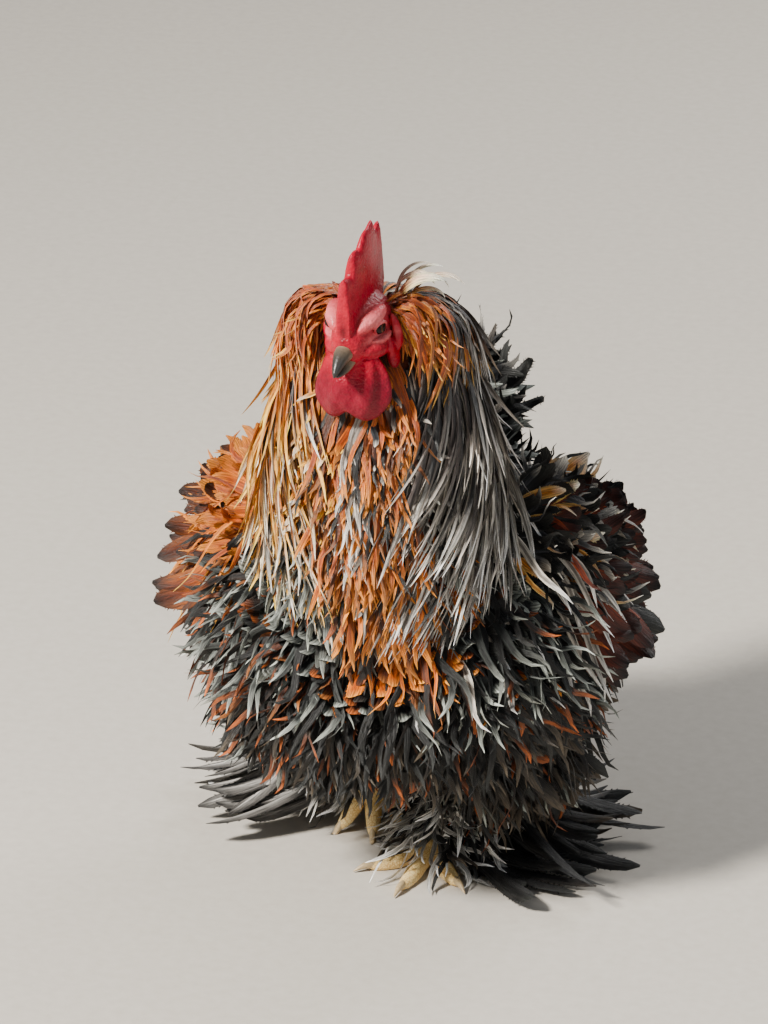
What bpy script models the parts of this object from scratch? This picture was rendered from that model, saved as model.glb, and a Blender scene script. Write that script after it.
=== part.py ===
"""A frizzle bantam cock in mid step, life size, as a museum would show it.

Metres, +Z up, the bird facing -Y, its own left side at +X. Bodies are ellipses carried along a bent
line; each is one closed object, and neighbours keep a thin gap.
"""

import math
import random

import bmesh
import bpy
import numpy as np
from mathutils import Matrix, Vector
from mathutils.bvhtree import BVHTree

# The thin gap left between neighbouring pieces.
GAP = 0.0003

# Body: length from breast to rump, and half width and half height at the widest.
BODY_LENGTH = 0.158
BODY_HALF_WIDTH = 0.079
BODY_HALF_HEIGHT = 0.072
BODY_HEIGHT = 0.142
BREAST_Y = -0.072

# Neck: from inside the shoulders to behind the skull.
NECK_FOOT = (0.0, -0.022, 0.165)
NECK_TOP = (0.0, -0.045, 0.322)
NECK_ROOT_RADIUS = 0.054
NECK_TOP_RADIUS = 0.025

# Head: its centre between the eyes, how far it turns to the bird's right and how far it nods.
HEAD_AT = (-0.003, -0.082, 0.314)
HEAD_TURN = math.radians(-8)
HEAD_NOD = math.radians(5)
SKULL_HALF_WIDTH = 0.0132
SKULL_HALF_HEIGHT = 0.0145
SKULL_BACK = 0.0240
BEAK_ROOT = -0.0185
BEAK_LENGTH = 0.0165
COMB_HEIGHT = 0.048
COMB_THICKNESS = 0.0056
WATTLE_LENGTH = 0.030
WATTLE_HALF_WIDTH = 0.0100
EYE_RADIUS = 0.0038
EYE_AT = (0.0098, -0.0035, 0.0038)

# Legs: hock and ball of the foot, for the leg that stands (left) and the one that pushes off (right).
HIP = (0.040, 0.006, 0.112)
HOCKS = {"left": (0.030, 0.036, 0.052), "right": (-0.034, 0.062, 0.070)}
BALLS = {"left": (0.016, 0.006, 0.0085), "right": (-0.021, 0.040, 0.0325)}
THIGH_RADIUS = 0.033
SHANK_RADIUS = 0.0058
TOE_RADIUS = 0.0046

CLAW_LENGTH = 0.0085
LEFT_TOES = ((-0.007, -0.039, -0.0060), (-0.028, -0.018, -0.0060), (0.020, -0.028, -0.0060), (0.009, 0.020, -0.0060))
RIGHT_TOES = ((0.003, -0.018, -0.0300), (0.019, -0.007, -0.0300), (-0.016, -0.012, -0.0300), (0.004, 0.019, -0.018))

# Feathers: how deep a root sits under the surface, how far it starts back along the feather, and the
# clear space kept round each one.
ROOT_DEPTH = 0.0045
ROOT_BACK = 0.0030
FEATHER_SPACE = 0.0005
RIDGE = (0.0021, 0.0020, 0.0016, 0.0011, 0.0008)

# Where a feather's rings sit along it, and its width there as shares of the widest.
POINTED = ((0.0, 0.30), (0.25, 0.78), (0.58, 1.0), (0.88, 0.50))
BROAD = ((0.0, 0.26), (0.30, 0.80), (0.62, 1.0), (0.90, 0.70))
FLIGHT = ((0.0, 0.22), (0.18, 0.42), (0.45, 0.85), (0.72, 1.0), (0.92, 0.72))

# Rows of hackles from the nape down: place along the neck, how many, length, width, rise and curl.
HACKLE_ROWS = (
    (0.985, 6, 0.024, 0.0085, 48, 80), (0.95, 10, 0.025, 0.0085, 42, 85), (0.86, 10, 0.027, 0.0095, 38, 75), (0.76, 11, 0.036, 0.0105, 22, 62),
    (0.66, 12, 0.043, 0.0110, 18, 52), (0.56, 13, 0.052, 0.0115, 14, 42), (0.45, 14, 0.058, 0.0120, 12, 36),
    (0.34, 15, 0.062, 0.0125, 12, 34),
)
# Rows of the body from breast to rump: place, how many, and how far down they lie.
BODY_ROWS = (
    (0.03, 5, 1.8), (0.10, 9, 1.6), (0.17, 12, 1.4), (0.25, 14, 1.2), (0.34, 15, 1.0), (0.44, 15, 0.8),
    (0.55, 15, 0.8), (0.66, 14, 1.1), (0.78, 12, 1.8), (0.90, 8, 3.0), (0.97, 4, 5.0),
)
BODY_FEATHER = (0.037, 0.0165)
SADDLE_FEATHER = (0.046, 0.0110)
# Short feathers that fill in the back and flanks, where the long ones leave room.
FILLER_ROWS = ((0.50, 10, 0.6), (0.61, 10, 0.9), (0.72, 10, 1.4), (0.83, 9, 2.2), (0.94, 5, 4.0))
FILLER_FEATHER = (0.024, 0.0125)
# Tiers of a wing: first and last place along it, how many, angle below level on its outer side, size,
# rise, curl, and how far down they lie.
WING_TIERS = (
    (0.34, 0.96, 11, -42, (0.062, 0.0180), 24, 48, 0.55, FLIGHT),
    (0.22, 0.90, 9, -6, (0.050, 0.0165), 24, 56, 0.40, FLIGHT),
    (0.14, 0.84, 8, 28, (0.038, 0.0150), 24, 70, 0.35, BROAD),
    (0.30, 0.80, 5, 60, (0.034, 0.0140), 24, 75, 0.30, BROAD),
)
TAIL_ROWS = (
    (0.20, 6, 0.046, 0.0130, 26, 70), (0.45, 7, 0.056, 0.0140, 24, 70), (0.68, 7, 0.062, 0.0150, 20, 66),
    (0.88, 5, 0.058, 0.0150, 16, 60),
)
THIGH_ROWS = ((0.30, 9), (0.44, 10), (0.58, 10), (0.72, 9), (0.86, 6))
THIGH_FEATHER = (0.039, 0.0155)
# Foot feathers wind down the shank: how many, first and last place, length of the top and the bottom one,
# and the first and last heading from straight out to the side, back being positive.
FOOT_FEATHERS = 17
FOOT_FEATHER_PLACES = (0.26, 0.86)
FOOT_FEATHER_LENGTHS = (0.080, 0.062)
FOOT_FEATHER_HEADINGS = (math.radians(-46), math.radians(104))
FOOT_FEATHER_WIDTH = 0.0185

SIDES = {"left": 1.0, "right": -1.0}


def catmull_rom(rows, u):
    """The row at u, from 0 to 1, on the smooth curve that passes through every given row."""
    last = len(rows) - 1
    t = min(max(u, 0.0), 1.0) * last
    i = min(int(t), last - 1)
    f = t - i
    p0, p1, p2, p3 = rows[max(i - 1, 0)], rows[i], rows[i + 1], rows[min(i + 2, last)]
    return 0.5 * (2 * p1 + (p2 - p0) * f + (2 * p0 - 5 * p1 + 4 * p2 - p3) * f**2
                  + (3 * p1 - p0 - 3 * p2 + p3) * f**3)


class Form:
    """A round body: ellipses carried along a line, given as rows of x, y, z, half width, half depth.

    The width lies along X as nearly as the line allows, or is turned from it about the line. Either
    end can be rounded off over a share of the length. relief(u, angle) adds to the radius.
    """

    def __init__(self, rows, round_start=0.2, round_end=0.2, turn=0.0, relief=None, across=(1, 0, 0)):
        self.rows = np.array(rows, float)
        self.across = Vector(across)
        self.round_start = round_start
        self.round_end = round_end
        self.turn = turn
        self.relief = relief

    def cap(self, u):
        """The share of its full size that the section at u keeps near a rounded end."""
        start = min(u / self.round_start, 1.0)
        end = min((1.0 - u) / self.round_end, 1.0)
        return math.sqrt(max(1 - (1 - start) ** 2, 0.0)) * math.sqrt(max(1 - (1 - end) ** 2, 0.0))

    def axes(self, u):
        """Centre, direction along the line, and the two directions across it."""
        step = 0.01
        along = Vector(catmull_rom(self.rows, u + step)[:3] - catmull_rom(self.rows, u - step)[:3]).normalized()
        side = (self.across - along * along.dot(self.across)).normalized()
        side.rotate(Matrix.Rotation(self.turn, 3, along))
        return Vector(catmull_rom(self.rows, u)[:3]), along, side, side.cross(along)

    def point(self, u, angle, extra=0.0):
        centre, along, side, up = self.axes(u)
        row = catmull_rom(self.rows, u)
        cap = self.cap(u)
        bump = self.relief(u, angle) if self.relief else 0.0
        across = (row[3] + extra + bump) * cap * math.cos(angle)
        rise = (row[4] + extra + bump) * cap * math.sin(angle)
        push = extra * (1 - cap) * (1 if u > 0.5 else -1)
        return centre + side * across + up * rise + along * push

    def mesh(self, rings, sides, extra=0.0):
        """Points and faces: a pole at each end and rings set closer together near the ends."""
        points = [self.point(0.0, 0.0, extra)]
        for k in range(1, rings + 1):
            u = 0.5 - 0.5 * math.cos(math.pi * k / (rings + 1))
            points += [self.point(u, 2 * math.pi * j / sides, extra) for j in range(sides)]
        points.append(self.point(1.0, 0.0, extra))
        faces = [(0, 1 + j, 1 + (j + 1) % sides) for j in range(sides)]
        for k in range(rings - 1):
            low, high = 1 + k * sides, 1 + (k + 1) * sides
            faces += [(low + (j + 1) % sides, low + j, high + j, high + (j + 1) % sides) for j in range(sides)]
        low = 1 + (rings - 1) * sides
        faces += [(low + (j + 1) % sides, low + j, len(points) - 1) for j in range(sides)]
        return points, faces


def seat(form, u, angle):
    """A point of the form's surface and the way out of it."""
    at = form.point(u, angle)
    along = form.point(min(u + 0.01, 0.999), angle) - form.point(max(u - 0.01, 0.001), angle)
    around = form.point(u, angle + 0.02) - form.point(u, angle - 0.02)
    out = along.cross(around).normalized()
    if out.dot(at - form.axes(u)[0]) < 0:
        out.negate()
    return at, out


class Feather:
    """One curled vane: rings of three points along a line, flat on the outer face, ridged inside.

    The line leaves the surface at `rise` from the way it lies and turns on by `curl`, so that its
    tip stands out from the bird. sway bends it sideways.
    """

    depth = ROOT_DEPTH

    def __init__(self, root, lie, out, length, width, rise, curl, sway, shape):
        self.root = root
        self.lie = (lie - out * lie.dot(out)).normalized()
        self.out = out
        self.length = length
        self.width = width
        self.rise = rise
        self.curl = curl
        self.sway = sway
        self.shape = shape

    def rings(self, space=0.0):
        """Three points a ring and the tip, with some clear space added all round."""
        steps = 24
        at = self.root - self.out * self.depth - self.lie * ROOT_BACK
        across = self.lie.cross(self.out)
        shares = [round(share * steps) for share, _ in self.shape]
        rings = []
        for k in range(steps + 1):
            s = k / steps
            angle = self.rise + self.curl * s**1.25
            way = self.lie * math.cos(angle) + self.out * math.sin(angle) + across * (self.sway * s)
            way.normalize()
            side = (across - way * across.dot(way)).normalized()
            if k in shares:
                i = shares.index(k)
                half = self.width / 2 * self.shape[i][1] + space
                up = side.cross(way)
                rings.append([at - side * half + up * space, at + side * half + up * space,
                              at - up * (RIDGE[i] + space)])
            if k < steps:
                at = at + way * (self.length / steps)
        return rings, at + way * space

    def mesh(self, space=0.0, start=0):
        """Points and faces of the closed vane, or of what lies beyond ring `start`."""
        rings, tip = self.rings(space)
        rings = rings[start:]
        points = [p for ring in rings for p in ring] + [tip]
        faces = [(0, 1, 2)]
        for k in range(len(rings) - 1):
            low, high = 3 * k, 3 * k + 3
            faces += [(low + j, high + j, high + (j + 1) % 3, low + (j + 1) % 3) for j in range(3)]
        low = 3 * (len(rings) - 1)
        faces += [(low + j, len(points) - 1, low + (j + 1) % 3) for j in range(3)]
        return points, faces


class Plumage:
    """Every feather grown so far, and the bare bodies that the next ones must stay clear of."""

    def __init__(self, bodies, others, chance):
        self.trees = {body.name: surface_tree(body) for body in bodies + others}
        self.feathers = {body.name: [] for body in bodies}
        self.grown = []
        self.chance = chance

    def inside(self, name, point):
        near, normal, _, away = self.trees[name].find_nearest(point)
        return away < FEATHER_SPACE or (point - near).dot(normal) < -0.7 * away

    def clear(self, name, feather):
        """Whether a feather of body `name` stays off the floor, every other body and every feather."""
        points, faces = feather.mesh(FEATHER_SPACE)
        if min(p.z for p in points) < 0.0:
            return False
        low = [min(p[i] for p in points) for i in range(3)]
        high = [max(p[i] for p in points) for i in range(3)]
        tree = BVHTree.FromPolygons(points, faces)
        for other_low, other_high, other in self.grown:
            apart = any(low[i] > other_high[i] or high[i] < other_low[i] for i in range(3))
            if not apart and tree.overlap(other):
                return False
        for other, body in self.trees.items():
            if other == name:
                continue
            if tree.overlap(body) or (other in self.feathers and self.inside(other, feather.root)):
                return False
        outer, outer_faces = feather.mesh(FEATHER_SPACE, 2)
        if BVHTree.FromPolygons(outer, outer_faces).overlap(self.trees[name]):
            return False
        return not self.inside(name, outer[-1])

    def grow(self, name, feather, tries=5):
        """Keeps the feather once it is clear, each try a little smaller and steeper than the last."""
        for _ in range(tries):
            if self.clear(name, feather):
                points, faces = feather.mesh()
                low = [min(p[i] for p in points) for i in range(3)]
                high = [max(p[i] for p in points) for i in range(3)]
                self.grown.append((low, high, BVHTree.FromPolygons(points, faces)))
                self.feathers[name].append((points, faces))
                return True
            feather.length *= 0.93
            feather.width *= 0.95
            feather.rise += math.radians(5)
            feather.sway += self.chance.uniform(-0.25, 0.25)
        return False


def finish(name, colour, roughness):
    """A plain material with the part's colour."""
    material = bpy.data.materials.new(name)
    material.use_nodes = True
    shader = material.node_tree.nodes["Principled BSDF"]
    shader.inputs["Base Color"].default_value = (*colour, 1.0)
    shader.inputs["Roughness"].default_value = roughness
    shader.inputs["Metallic"].default_value = 0.0
    return material


def outward(mesh):
    """Merges doubles, turns the faces out, and settles which way each bent face is split."""
    bm = bmesh.new()
    bm.from_mesh(mesh)
    bmesh.ops.remove_doubles(bm, verts=bm.verts, dist=1e-6)
    bmesh.ops.triangulate(bm, faces=bm.faces)
    bmesh.ops.recalc_face_normals(bm, faces=bm.faces)
    if bm.calc_volume(signed=True) < 0:
        bmesh.ops.reverse_faces(bm, faces=bm.faces)
    bm.to_mesh(mesh)
    bm.free()


def add_object(name, points, faces, material, collection, pose=None):
    """A named object of one closed mesh, placed by its parent empty."""
    mesh = bpy.data.meshes.new(name)
    mesh.from_pydata([tuple(p) for p in points], [], faces)
    outward(mesh)
    mesh.shade_smooth()
    if material:
        mesh.materials.append(material)
    obj = bpy.data.objects.new(name, mesh)
    collection.objects.link(obj)
    obj.parent = pose
    return obj


def evaluated_mesh(obj):
    bpy.context.view_layer.update()
    graph = bpy.context.evaluated_depsgraph_get()
    return bpy.data.meshes.new_from_object(obj.evaluated_get(graph))


def keep_largest(mesh):
    """Keeps the closed surface of the largest volume, so hollows are filled and scraps dropped."""
    bm = bmesh.new()
    bm.from_mesh(mesh)
    bmesh.ops.triangulate(bm, faces=bm.faces)
    left, islands = set(bm.faces), []
    while left:
        island, edge = set(), [left.pop()]
        while edge:
            face = edge.pop()
            island.add(face)
            for e in face.edges:
                for other in e.link_faces:
                    if other in left:
                        left.discard(other)
                        edge.append(other)
        volume = sum(f.verts[0].co.dot(f.verts[1].co.cross(f.verts[2].co)) for f in island)
        islands.append((volume, island))
    islands.sort(key=lambda pair: pair[0])
    scraps = [f for _, island in islands[:-1] for f in island]
    bmesh.ops.delete(bm, geom=scraps, context="FACES")
    bm.to_mesh(mesh)
    bm.free()


def cut(obj, cutter):
    """Takes the cutter out of obj for good."""
    modifier = obj.modifiers.new("cut", "BOOLEAN")
    modifier.operation = "DIFFERENCE"
    modifier.object = cutter
    mesh = evaluated_mesh(obj)
    obj.modifiers.clear()
    keep_largest(mesh)
    obj.data = mesh


def keep_cutter(obj, cutters):
    """Keeps a copy of obj, grown by a little more than the gap, to cut its neighbours clear of it."""
    mesh = obj.data.copy()
    bm = bmesh.new()
    bm.from_mesh(mesh)
    bm.normal_update()
    moves = [(v, v.normal * (1.3 * GAP)) for v in bm.verts]
    for v, move in moves:
        v.co += move
    bm.to_mesh(mesh)
    bm.free()
    cutter = bpy.data.objects.new(obj.name + "_cutter", mesh)
    cutter.hide_render = True
    cutter.display_type = "WIRE"
    cutter.parent = obj.parent
    cutters.objects.link(cutter)


def surface_tree(obj):
    """A search tree of obj's faces, in the bird's own frame."""
    bpy.context.view_layer.update()
    points = [obj.matrix_world @ v.co for v in obj.data.vertices]
    return BVHTree.FromPolygons(points, [tuple(p.vertices) for p in obj.data.polygons])


def cut_clear(obj, neighbours, cutters):
    """Cuts obj back from every neighbour that it reaches into, so that they meet face to face."""
    keep_cutter(obj, cutters)
    for other in neighbours:
        cutter = cutters.objects[other.name + "_cutter"]
        if surface_tree(obj).overlap(surface_tree(cutter)):
            cut(obj, cutter)


def line(start, end, shares, widths, depths, sag=(0.0, 0.0, 0.0)):
    """Rows of a form whose line runs from start to end, bowed by sag at the middle."""
    rows = []
    for share, width, depth in zip(shares, widths, depths):
        at = Vector(start).lerp(Vector(end), share) + Vector(sag) * (4 * share * (1 - share))
        rows.append((*at, width, depth))
    return rows


def torso_form():
    """Breast to rump: deep and round, with the back rising to the tail."""
    shares = (0.0, 0.17, 0.40, 0.62, 0.83, 1.0)
    heights = (0.016, 0.008, 0.0, 0.002, 0.014, 0.030)
    widths = (0.62, 0.86, 1.0, 1.0, 0.84, 0.58)
    depths = (0.66, 0.90, 1.0, 0.98, 0.80, 0.55)
    rows = [(0.0, BREAST_Y + BODY_LENGTH * s, BODY_HEIGHT + h, BODY_HALF_WIDTH * w, BODY_HALF_HEIGHT * d)
            for s, h, w, d in zip(shares, heights, widths, depths)]
    return Form(rows, 0.30, 0.30)


def neck_form():
    """Shoulders to nape, thick with the core of the hackle."""
    shares = (0.0, 0.22, 0.45, 0.68, 0.88, 1.0)
    sizes = (1.0, 0.90, 0.76, 0.62, 0.51, NECK_TOP_RADIUS / NECK_ROOT_RADIUS)
    radii = [NECK_ROOT_RADIUS * s for s in sizes]
    return Form(line(NECK_FOOT, NECK_TOP, shares, radii, radii, (0.0, -0.017, 0.0)), 0.05, 0.16)


def skull_form():
    """Beak root to the back of the skull, in the head's own frame."""
    shares = (0.0, 0.22, 0.48, 0.74, 1.0)
    heights = (-0.004, -0.0005, 0.0025, 0.003, 0.0)
    widths = (0.50, 0.78, 1.0, 0.98, 0.72)
    depths = (0.52, 0.80, 1.0, 1.02, 0.78)
    length = SKULL_BACK - BEAK_ROOT
    rows = [(0.0, BEAK_ROOT + length * s, h, SKULL_HALF_WIDTH * w, SKULL_HALF_HEIGHT * d)
            for s, h, w, d in zip(shares, heights, widths, depths)]
    return Form(rows, 0.12, 0.34)


def beak_form(upper):
    """The upper half hooks over the tip; the lower one is shallow and shorter."""
    root = 0.005
    if upper:
        ends = ((0.0, BEAK_ROOT - BEAK_LENGTH, -0.0098), (0.0, BEAK_ROOT + root, -0.0014))
        widths, depths = (0.0009, 0.0028, 0.0044, 0.0054), (0.0012, 0.0034, 0.0046, 0.0054)
        sag = (0.0, 0.0, 0.0026)
    else:
        ends = ((0.0, BEAK_ROOT - 0.74 * BEAK_LENGTH, -0.0108), (0.0, BEAK_ROOT + root, -0.0074))
        widths, depths = (0.0009, 0.0025, 0.0038, 0.0046), (0.0008, 0.0017, 0.0024, 0.0029)
        sag = (0.0, 0.0, -0.0007)
    return Form(line(*ends, (0.0, 0.3, 0.62, 1.0), widths, depths, sag), 0.2, 0.05)


def lid_ring(side):
    """Points and faces of the ring of lid round an eye."""
    around, tube = 11, 4
    radius, thick = EYE_RADIUS * 1.12, 0.0010
    centre = Vector((side * (EYE_AT[0] + EYE_RADIUS * 0.48), EYE_AT[1], EYE_AT[2]))
    points = []
    for k in range(around):
        a = 2 * math.pi * k / around
        for j in range(tube):
            b = 2 * math.pi * j / tube
            reach = radius + thick * math.cos(b)
            points.append(centre + Vector((thick * math.sin(b), reach * math.cos(a), 0.84 * reach * math.sin(a))))
    faces = [(k * tube + j, k * tube + (j + 1) % tube, (k + 1) % around * tube + (j + 1) % tube,
              (k + 1) % around * tube + j) for k in range(around) for j in range(tube)]
    return points, faces


def nostril_form(side):
    """A slit to cut into the side of the upper beak."""
    start = (side * 0.0045, BEAK_ROOT - 0.0052, -0.0018)
    end = (side * 0.0047, BEAK_ROOT - 0.0012, -0.0006)
    return Form(line(start, end, (0.0, 0.5, 1.0), (0.0007, 0.0009, 0.0007), (0.0005, 0.0006, 0.0005)), 0.3, 0.3)


def comb_object(material, collection, pose):
    """A single comb: a notched blade from the beak root to past the back of the skull."""
    spikes = 5
    front, back = BEAK_ROOT - 0.001, SKULL_BACK + 0.004
    skull_top = SKULL_HALF_HEIGHT * 0.35
    outline = [(front, -0.001)]
    for k in range(spikes):
        share = (k + 0.5) / spikes
        crest = COMB_HEIGHT * (0.50 + 0.50 * math.sin(math.pi * (0.16 + 0.80 * share)))
        y = front + (back - front) * (share * 1.04)
        lean = 0.004 * (share - 0.2)
        outline.append((y - 0.0028 + lean * 0.4, skull_top + crest * 0.80))
        outline.append((y + lean, skull_top + crest))
        outline.append((y + 0.0024 + lean * 0.6, skull_top + crest * 0.86))
        if k < spikes - 1:
            outline.append((y + 0.5 * (back - front) / spikes, skull_top + crest * 0.52))
    outline += [(back + 0.003, skull_top + COMB_HEIGHT * 0.30), (back - 0.004, skull_top * 0.6), (0.004, 0.0)]
    curve = bpy.data.curves.new("comb", "CURVE")
    curve.dimensions = "2D"
    curve.fill_mode = "BOTH"
    curve.extrude = COMB_THICKNESS / 2
    spline = curve.splines.new("POLY")
    spline.points.add(len(outline) - 1)
    for point, (y, z) in zip(spline.points, outline):
        point.co = (y, z, 0.0, 1.0)
    spline.use_cyclic_u = True
    guide = bpy.data.objects.new("comb_outline", curve)
    collection.objects.link(guide)
    mesh = evaluated_mesh(guide)
    bpy.data.objects.remove(guide)
    mesh.transform(Matrix(((0, 0, 1, 0), (1, 0, 0, 0), (0, 1, 0, 0), (0, 0, 0, 1))))
    for v in mesh.vertices:
        v.co.x *= 1.15 - 0.75 * max(v.co.z, 0.0) / (COMB_HEIGHT + skull_top)
    outward(mesh)
    mesh.materials.append(material)
    comb = bpy.data.objects.new("comb", mesh)
    collection.objects.link(comb)
    comb.parent = pose
    return comb


def wattle_form(side):
    """A hanging lobe, turned a little outwards, with shallow folds down it."""
    start = (side * 0.0058, BEAK_ROOT + 0.009, -0.0080)
    end = (side * 0.0088, BEAK_ROOT + 0.005, -0.0080 - WATTLE_LENGTH)
    widths = (0.0032, 0.0046, 0.0055, 0.0054, 0.0040)
    depths = [WATTLE_HALF_WIDTH * s for s in (0.45, 0.78, 1.0, 0.98, 0.70)]

    def folds(u, angle):
        return 0.0006 * math.sin(4 * angle + 5 * u) * math.sin(math.pi * u)

    return Form(line(start, end, (0, 0.25, 0.5, 0.75, 1.0), widths, depths), 0.08, 0.3, side * 0.55, folds)


def earlobe_form(side):
    start = (side * 0.0126, 0.006, -0.002)
    end = (side * 0.0140, 0.005, -0.017)
    return Form(line(start, end, (0, 0.5, 1.0), (0.0022, 0.0030, 0.0026), (0.0040, 0.0055, 0.0042)), 0.3, 0.4)


def thigh_form(name):
    """Hip to hock, tapering, thick with the core of its fluff."""
    side = SIDES[name]
    hip = (side * HIP[0], HIP[1], HIP[2])
    widths = [THIGH_RADIUS * s for s in (1.0, 1.02, 0.78, 0.42)]
    depths = [THIGH_RADIUS * s for s in (1.1, 1.08, 0.82, 0.44)]
    return Form(line(hip, HOCKS[name], (0.0, 0.35, 0.72, 1.0), widths, depths, (side * 0.004, 0.0, 0.0)), 0.15, 0.25)


def shank_form(name):
    hock, ball = Vector(HOCKS[name]), Vector(BALLS[name])
    start = hock + (hock - ball).normalized() * 0.006
    sizes = [SHANK_RADIUS * s for s in (1.35, 1.0, 0.95, 1.12)]
    return Form(line(start, ball, (0.0, 0.3, 0.7, 1.0), sizes, sizes), 0.2, 0.2)


def toe_rows(ball, tip, radius):
    """A toe that is thick at the joints and thins to the claw."""
    sizes = [radius * s for s in (1.05, 1.0, 0.90, 0.92, 0.78, 0.62)]
    return line(ball, tip, (0.0, 0.2, 0.4, 0.58, 0.8, 1.0), sizes, sizes, (0.0, 0.0, -0.0020))


def on_floor(points):
    """Presses whatever dips under the floor flat on it."""
    return [Vector((p[0], p[1], max(p[2], 0.0))) for p in points]


def toes(name):
    """Where each toe ends, and the way there from the ball of the foot."""
    ball = Vector(BALLS[name])
    return [(ball + Vector(way), Vector(way)) for way in (LEFT_TOES if name == "left" else RIGHT_TOES)]


def foot_object(name, material, collection, pose):
    """Ball, four toes and their claws, fused; what meets the floor is pressed flat."""
    ball = Vector(BALLS[name])
    pieces = bpy.data.collections.new("foot_pieces")
    bpy.context.scene.collection.children.link(pieces)
    middle = Form(line(ball + Vector((0, 0, 0.006)), ball - Vector((0, 0, 0.007)), (0.0, 0.5, 1.0),
                       (0.0060, 0.0078, 0.0066), (0.0060, 0.0076, 0.0064)), 0.3, 0.3)
    points, faces = middle.mesh(4, 8)
    foot = add_object("foot_" + name, on_floor(points), faces, material, collection, pose)
    for tip, way in toes(name):
        radius = TOE_RADIUS * (0.9 if way.length < 0.03 else 1.0)
        points, faces = Form(toe_rows(ball, tip, radius), 0.12, 0.25).mesh(5, 7)
        add_object("toe", on_floor(points), faces, None, pieces, pose)
        level = Vector((way.x, way.y, 0.0 if name == "left" else way.z)).normalized()
        start = tip - level * 0.006
        end = tip + level * CLAW_LENGTH + Vector((0, 0, -0.0016))
        claw = line(start, end, (0.0, 0.5, 1.0), (0.0020, 0.0017, 0.0003), (0.0022, 0.0019, 0.0003),
                    (0.0, 0.0, 0.0016))
        points, faces = Form(claw, 0.1, 0.1).mesh(3, 5)
        add_object("claw", on_floor(points), faces, None, pieces, pose)
    fuse(foot, pieces)
    return foot


def fuse(obj, pieces):
    """Joins every object of the collection to obj for good, and drops the collection."""
    modifier = obj.modifiers.new("fuse", "BOOLEAN")
    modifier.operation = "UNION"
    modifier.operand_type = "COLLECTION"
    modifier.collection = pieces
    mesh = evaluated_mesh(obj)
    obj.modifiers.clear()
    keep_largest(mesh)
    obj.data = mesh
    for piece in list(pieces.objects):
        bpy.data.objects.remove(piece)
    bpy.data.collections.remove(pieces)


def wing_form(name, torso):
    """The folded wing's core, laid along the side of the body from shoulder to flank."""
    side = SIDES[name]
    rows = []
    for u, lift, thick, deep in ((0.20, 42, 0.010, 0.020), (0.36, 34, 0.013, 0.030), (0.54, 20, 0.014, 0.034),
                                 (0.72, 8, 0.012, 0.028), (0.90, 4, 0.008, 0.016)):
        angle = math.radians(lift)
        at = torso.point(u, angle if side > 0 else math.pi - angle)
        rows.append((*at, thick, deep))
    return Form(rows, 0.22, 0.30)


def tail_form(torso):
    """The tail's root, rising from the rump."""
    start = torso.point(0.80, math.radians(60)) * 1.0
    start.x = 0.0
    end = start + Vector((0.0, 0.046, 0.034))
    return Form(line(start, end, (0.0, 0.35, 0.7, 1.0), (0.030, 0.027, 0.021, 0.013), (0.026, 0.022, 0.017, 0.011)),
                0.2, 0.35)


def turned(way, angle, about):
    """way turned about an axis."""
    way = way.copy()
    way.rotate(Matrix.Rotation(angle, 3, about))
    return way


def grow_row(plumage, name, form, u, angles, flow, size, rise, curl, shape, tries=5):
    """A row of feathers round a form. size is (length, width); rise and curl are in degrees."""
    chance = plumage.chance
    for angle in angles:
        at, out = seat(form, u + chance.uniform(-0.012, 0.012), angle + chance.uniform(-0.06, 0.06))
        lie = turned(Vector(flow(at)), chance.uniform(-0.22, 0.22), out)
        scale = chance.uniform(0.90, 1.12)
        feather = Feather(at, lie, out, size[0] * scale, size[1] * scale,
                          math.radians(rise + chance.uniform(-6, 6)), math.radians(curl * chance.uniform(0.85, 1.2)),
                          chance.uniform(-0.35, 0.35), shape)
        plumage.grow(name, feather, tries)


def staggered(count, row, start=0.0, end=2 * math.pi):
    """Angles of a row's feathers, each row set off by half a step from the one before."""
    step = (end - start) / count
    return [start + step * (k + 0.5 * (row % 2)) for k in range(count)]


def grow_hackle(plumage, neck):
    """The ruff round the head, then longer and longer hackles down to the shoulders."""
    for row, (u, count, length, width, rise, curl) in enumerate(HACKLE_ROWS):
        grow_row(plumage, "neck", neck, u, staggered(count, row), lambda at: (0.0, 0.25, -1.0),
                 (length, width), rise, curl, POINTED)


def grow_body(plumage, torso):
    """Curled rows over breast, belly and rump, and pointed saddle hackles beside the tail."""
    for row, (u, count, down) in enumerate(BODY_ROWS):
        grow_row(plumage, "torso", torso, u, staggered(count, row), lambda at: (0.0, 1.0, -down),
                 BODY_FEATHER, 36, 54, BROAD, 8)
    for row, u in enumerate((0.62, 0.76)):
        for start, end in ((0.15, 1.1), (math.pi - 1.1, math.pi - 0.15)):
            grow_row(plumage, "torso", torso, u, staggered(3, row, start, end),
                     lambda at: (2.0 * at.x, 1.0, -0.2), SADDLE_FEATHER, 25, 60, POINTED)
    for row, (u, count, down) in enumerate(FILLER_ROWS):
        grow_row(plumage, "torso", torso, u, staggered(count, row, -0.8, math.pi + 0.8), lambda at: (0.0, 1.0, -down),
                 FILLER_FEATHER, 42, 50, BROAD, 3)


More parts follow.
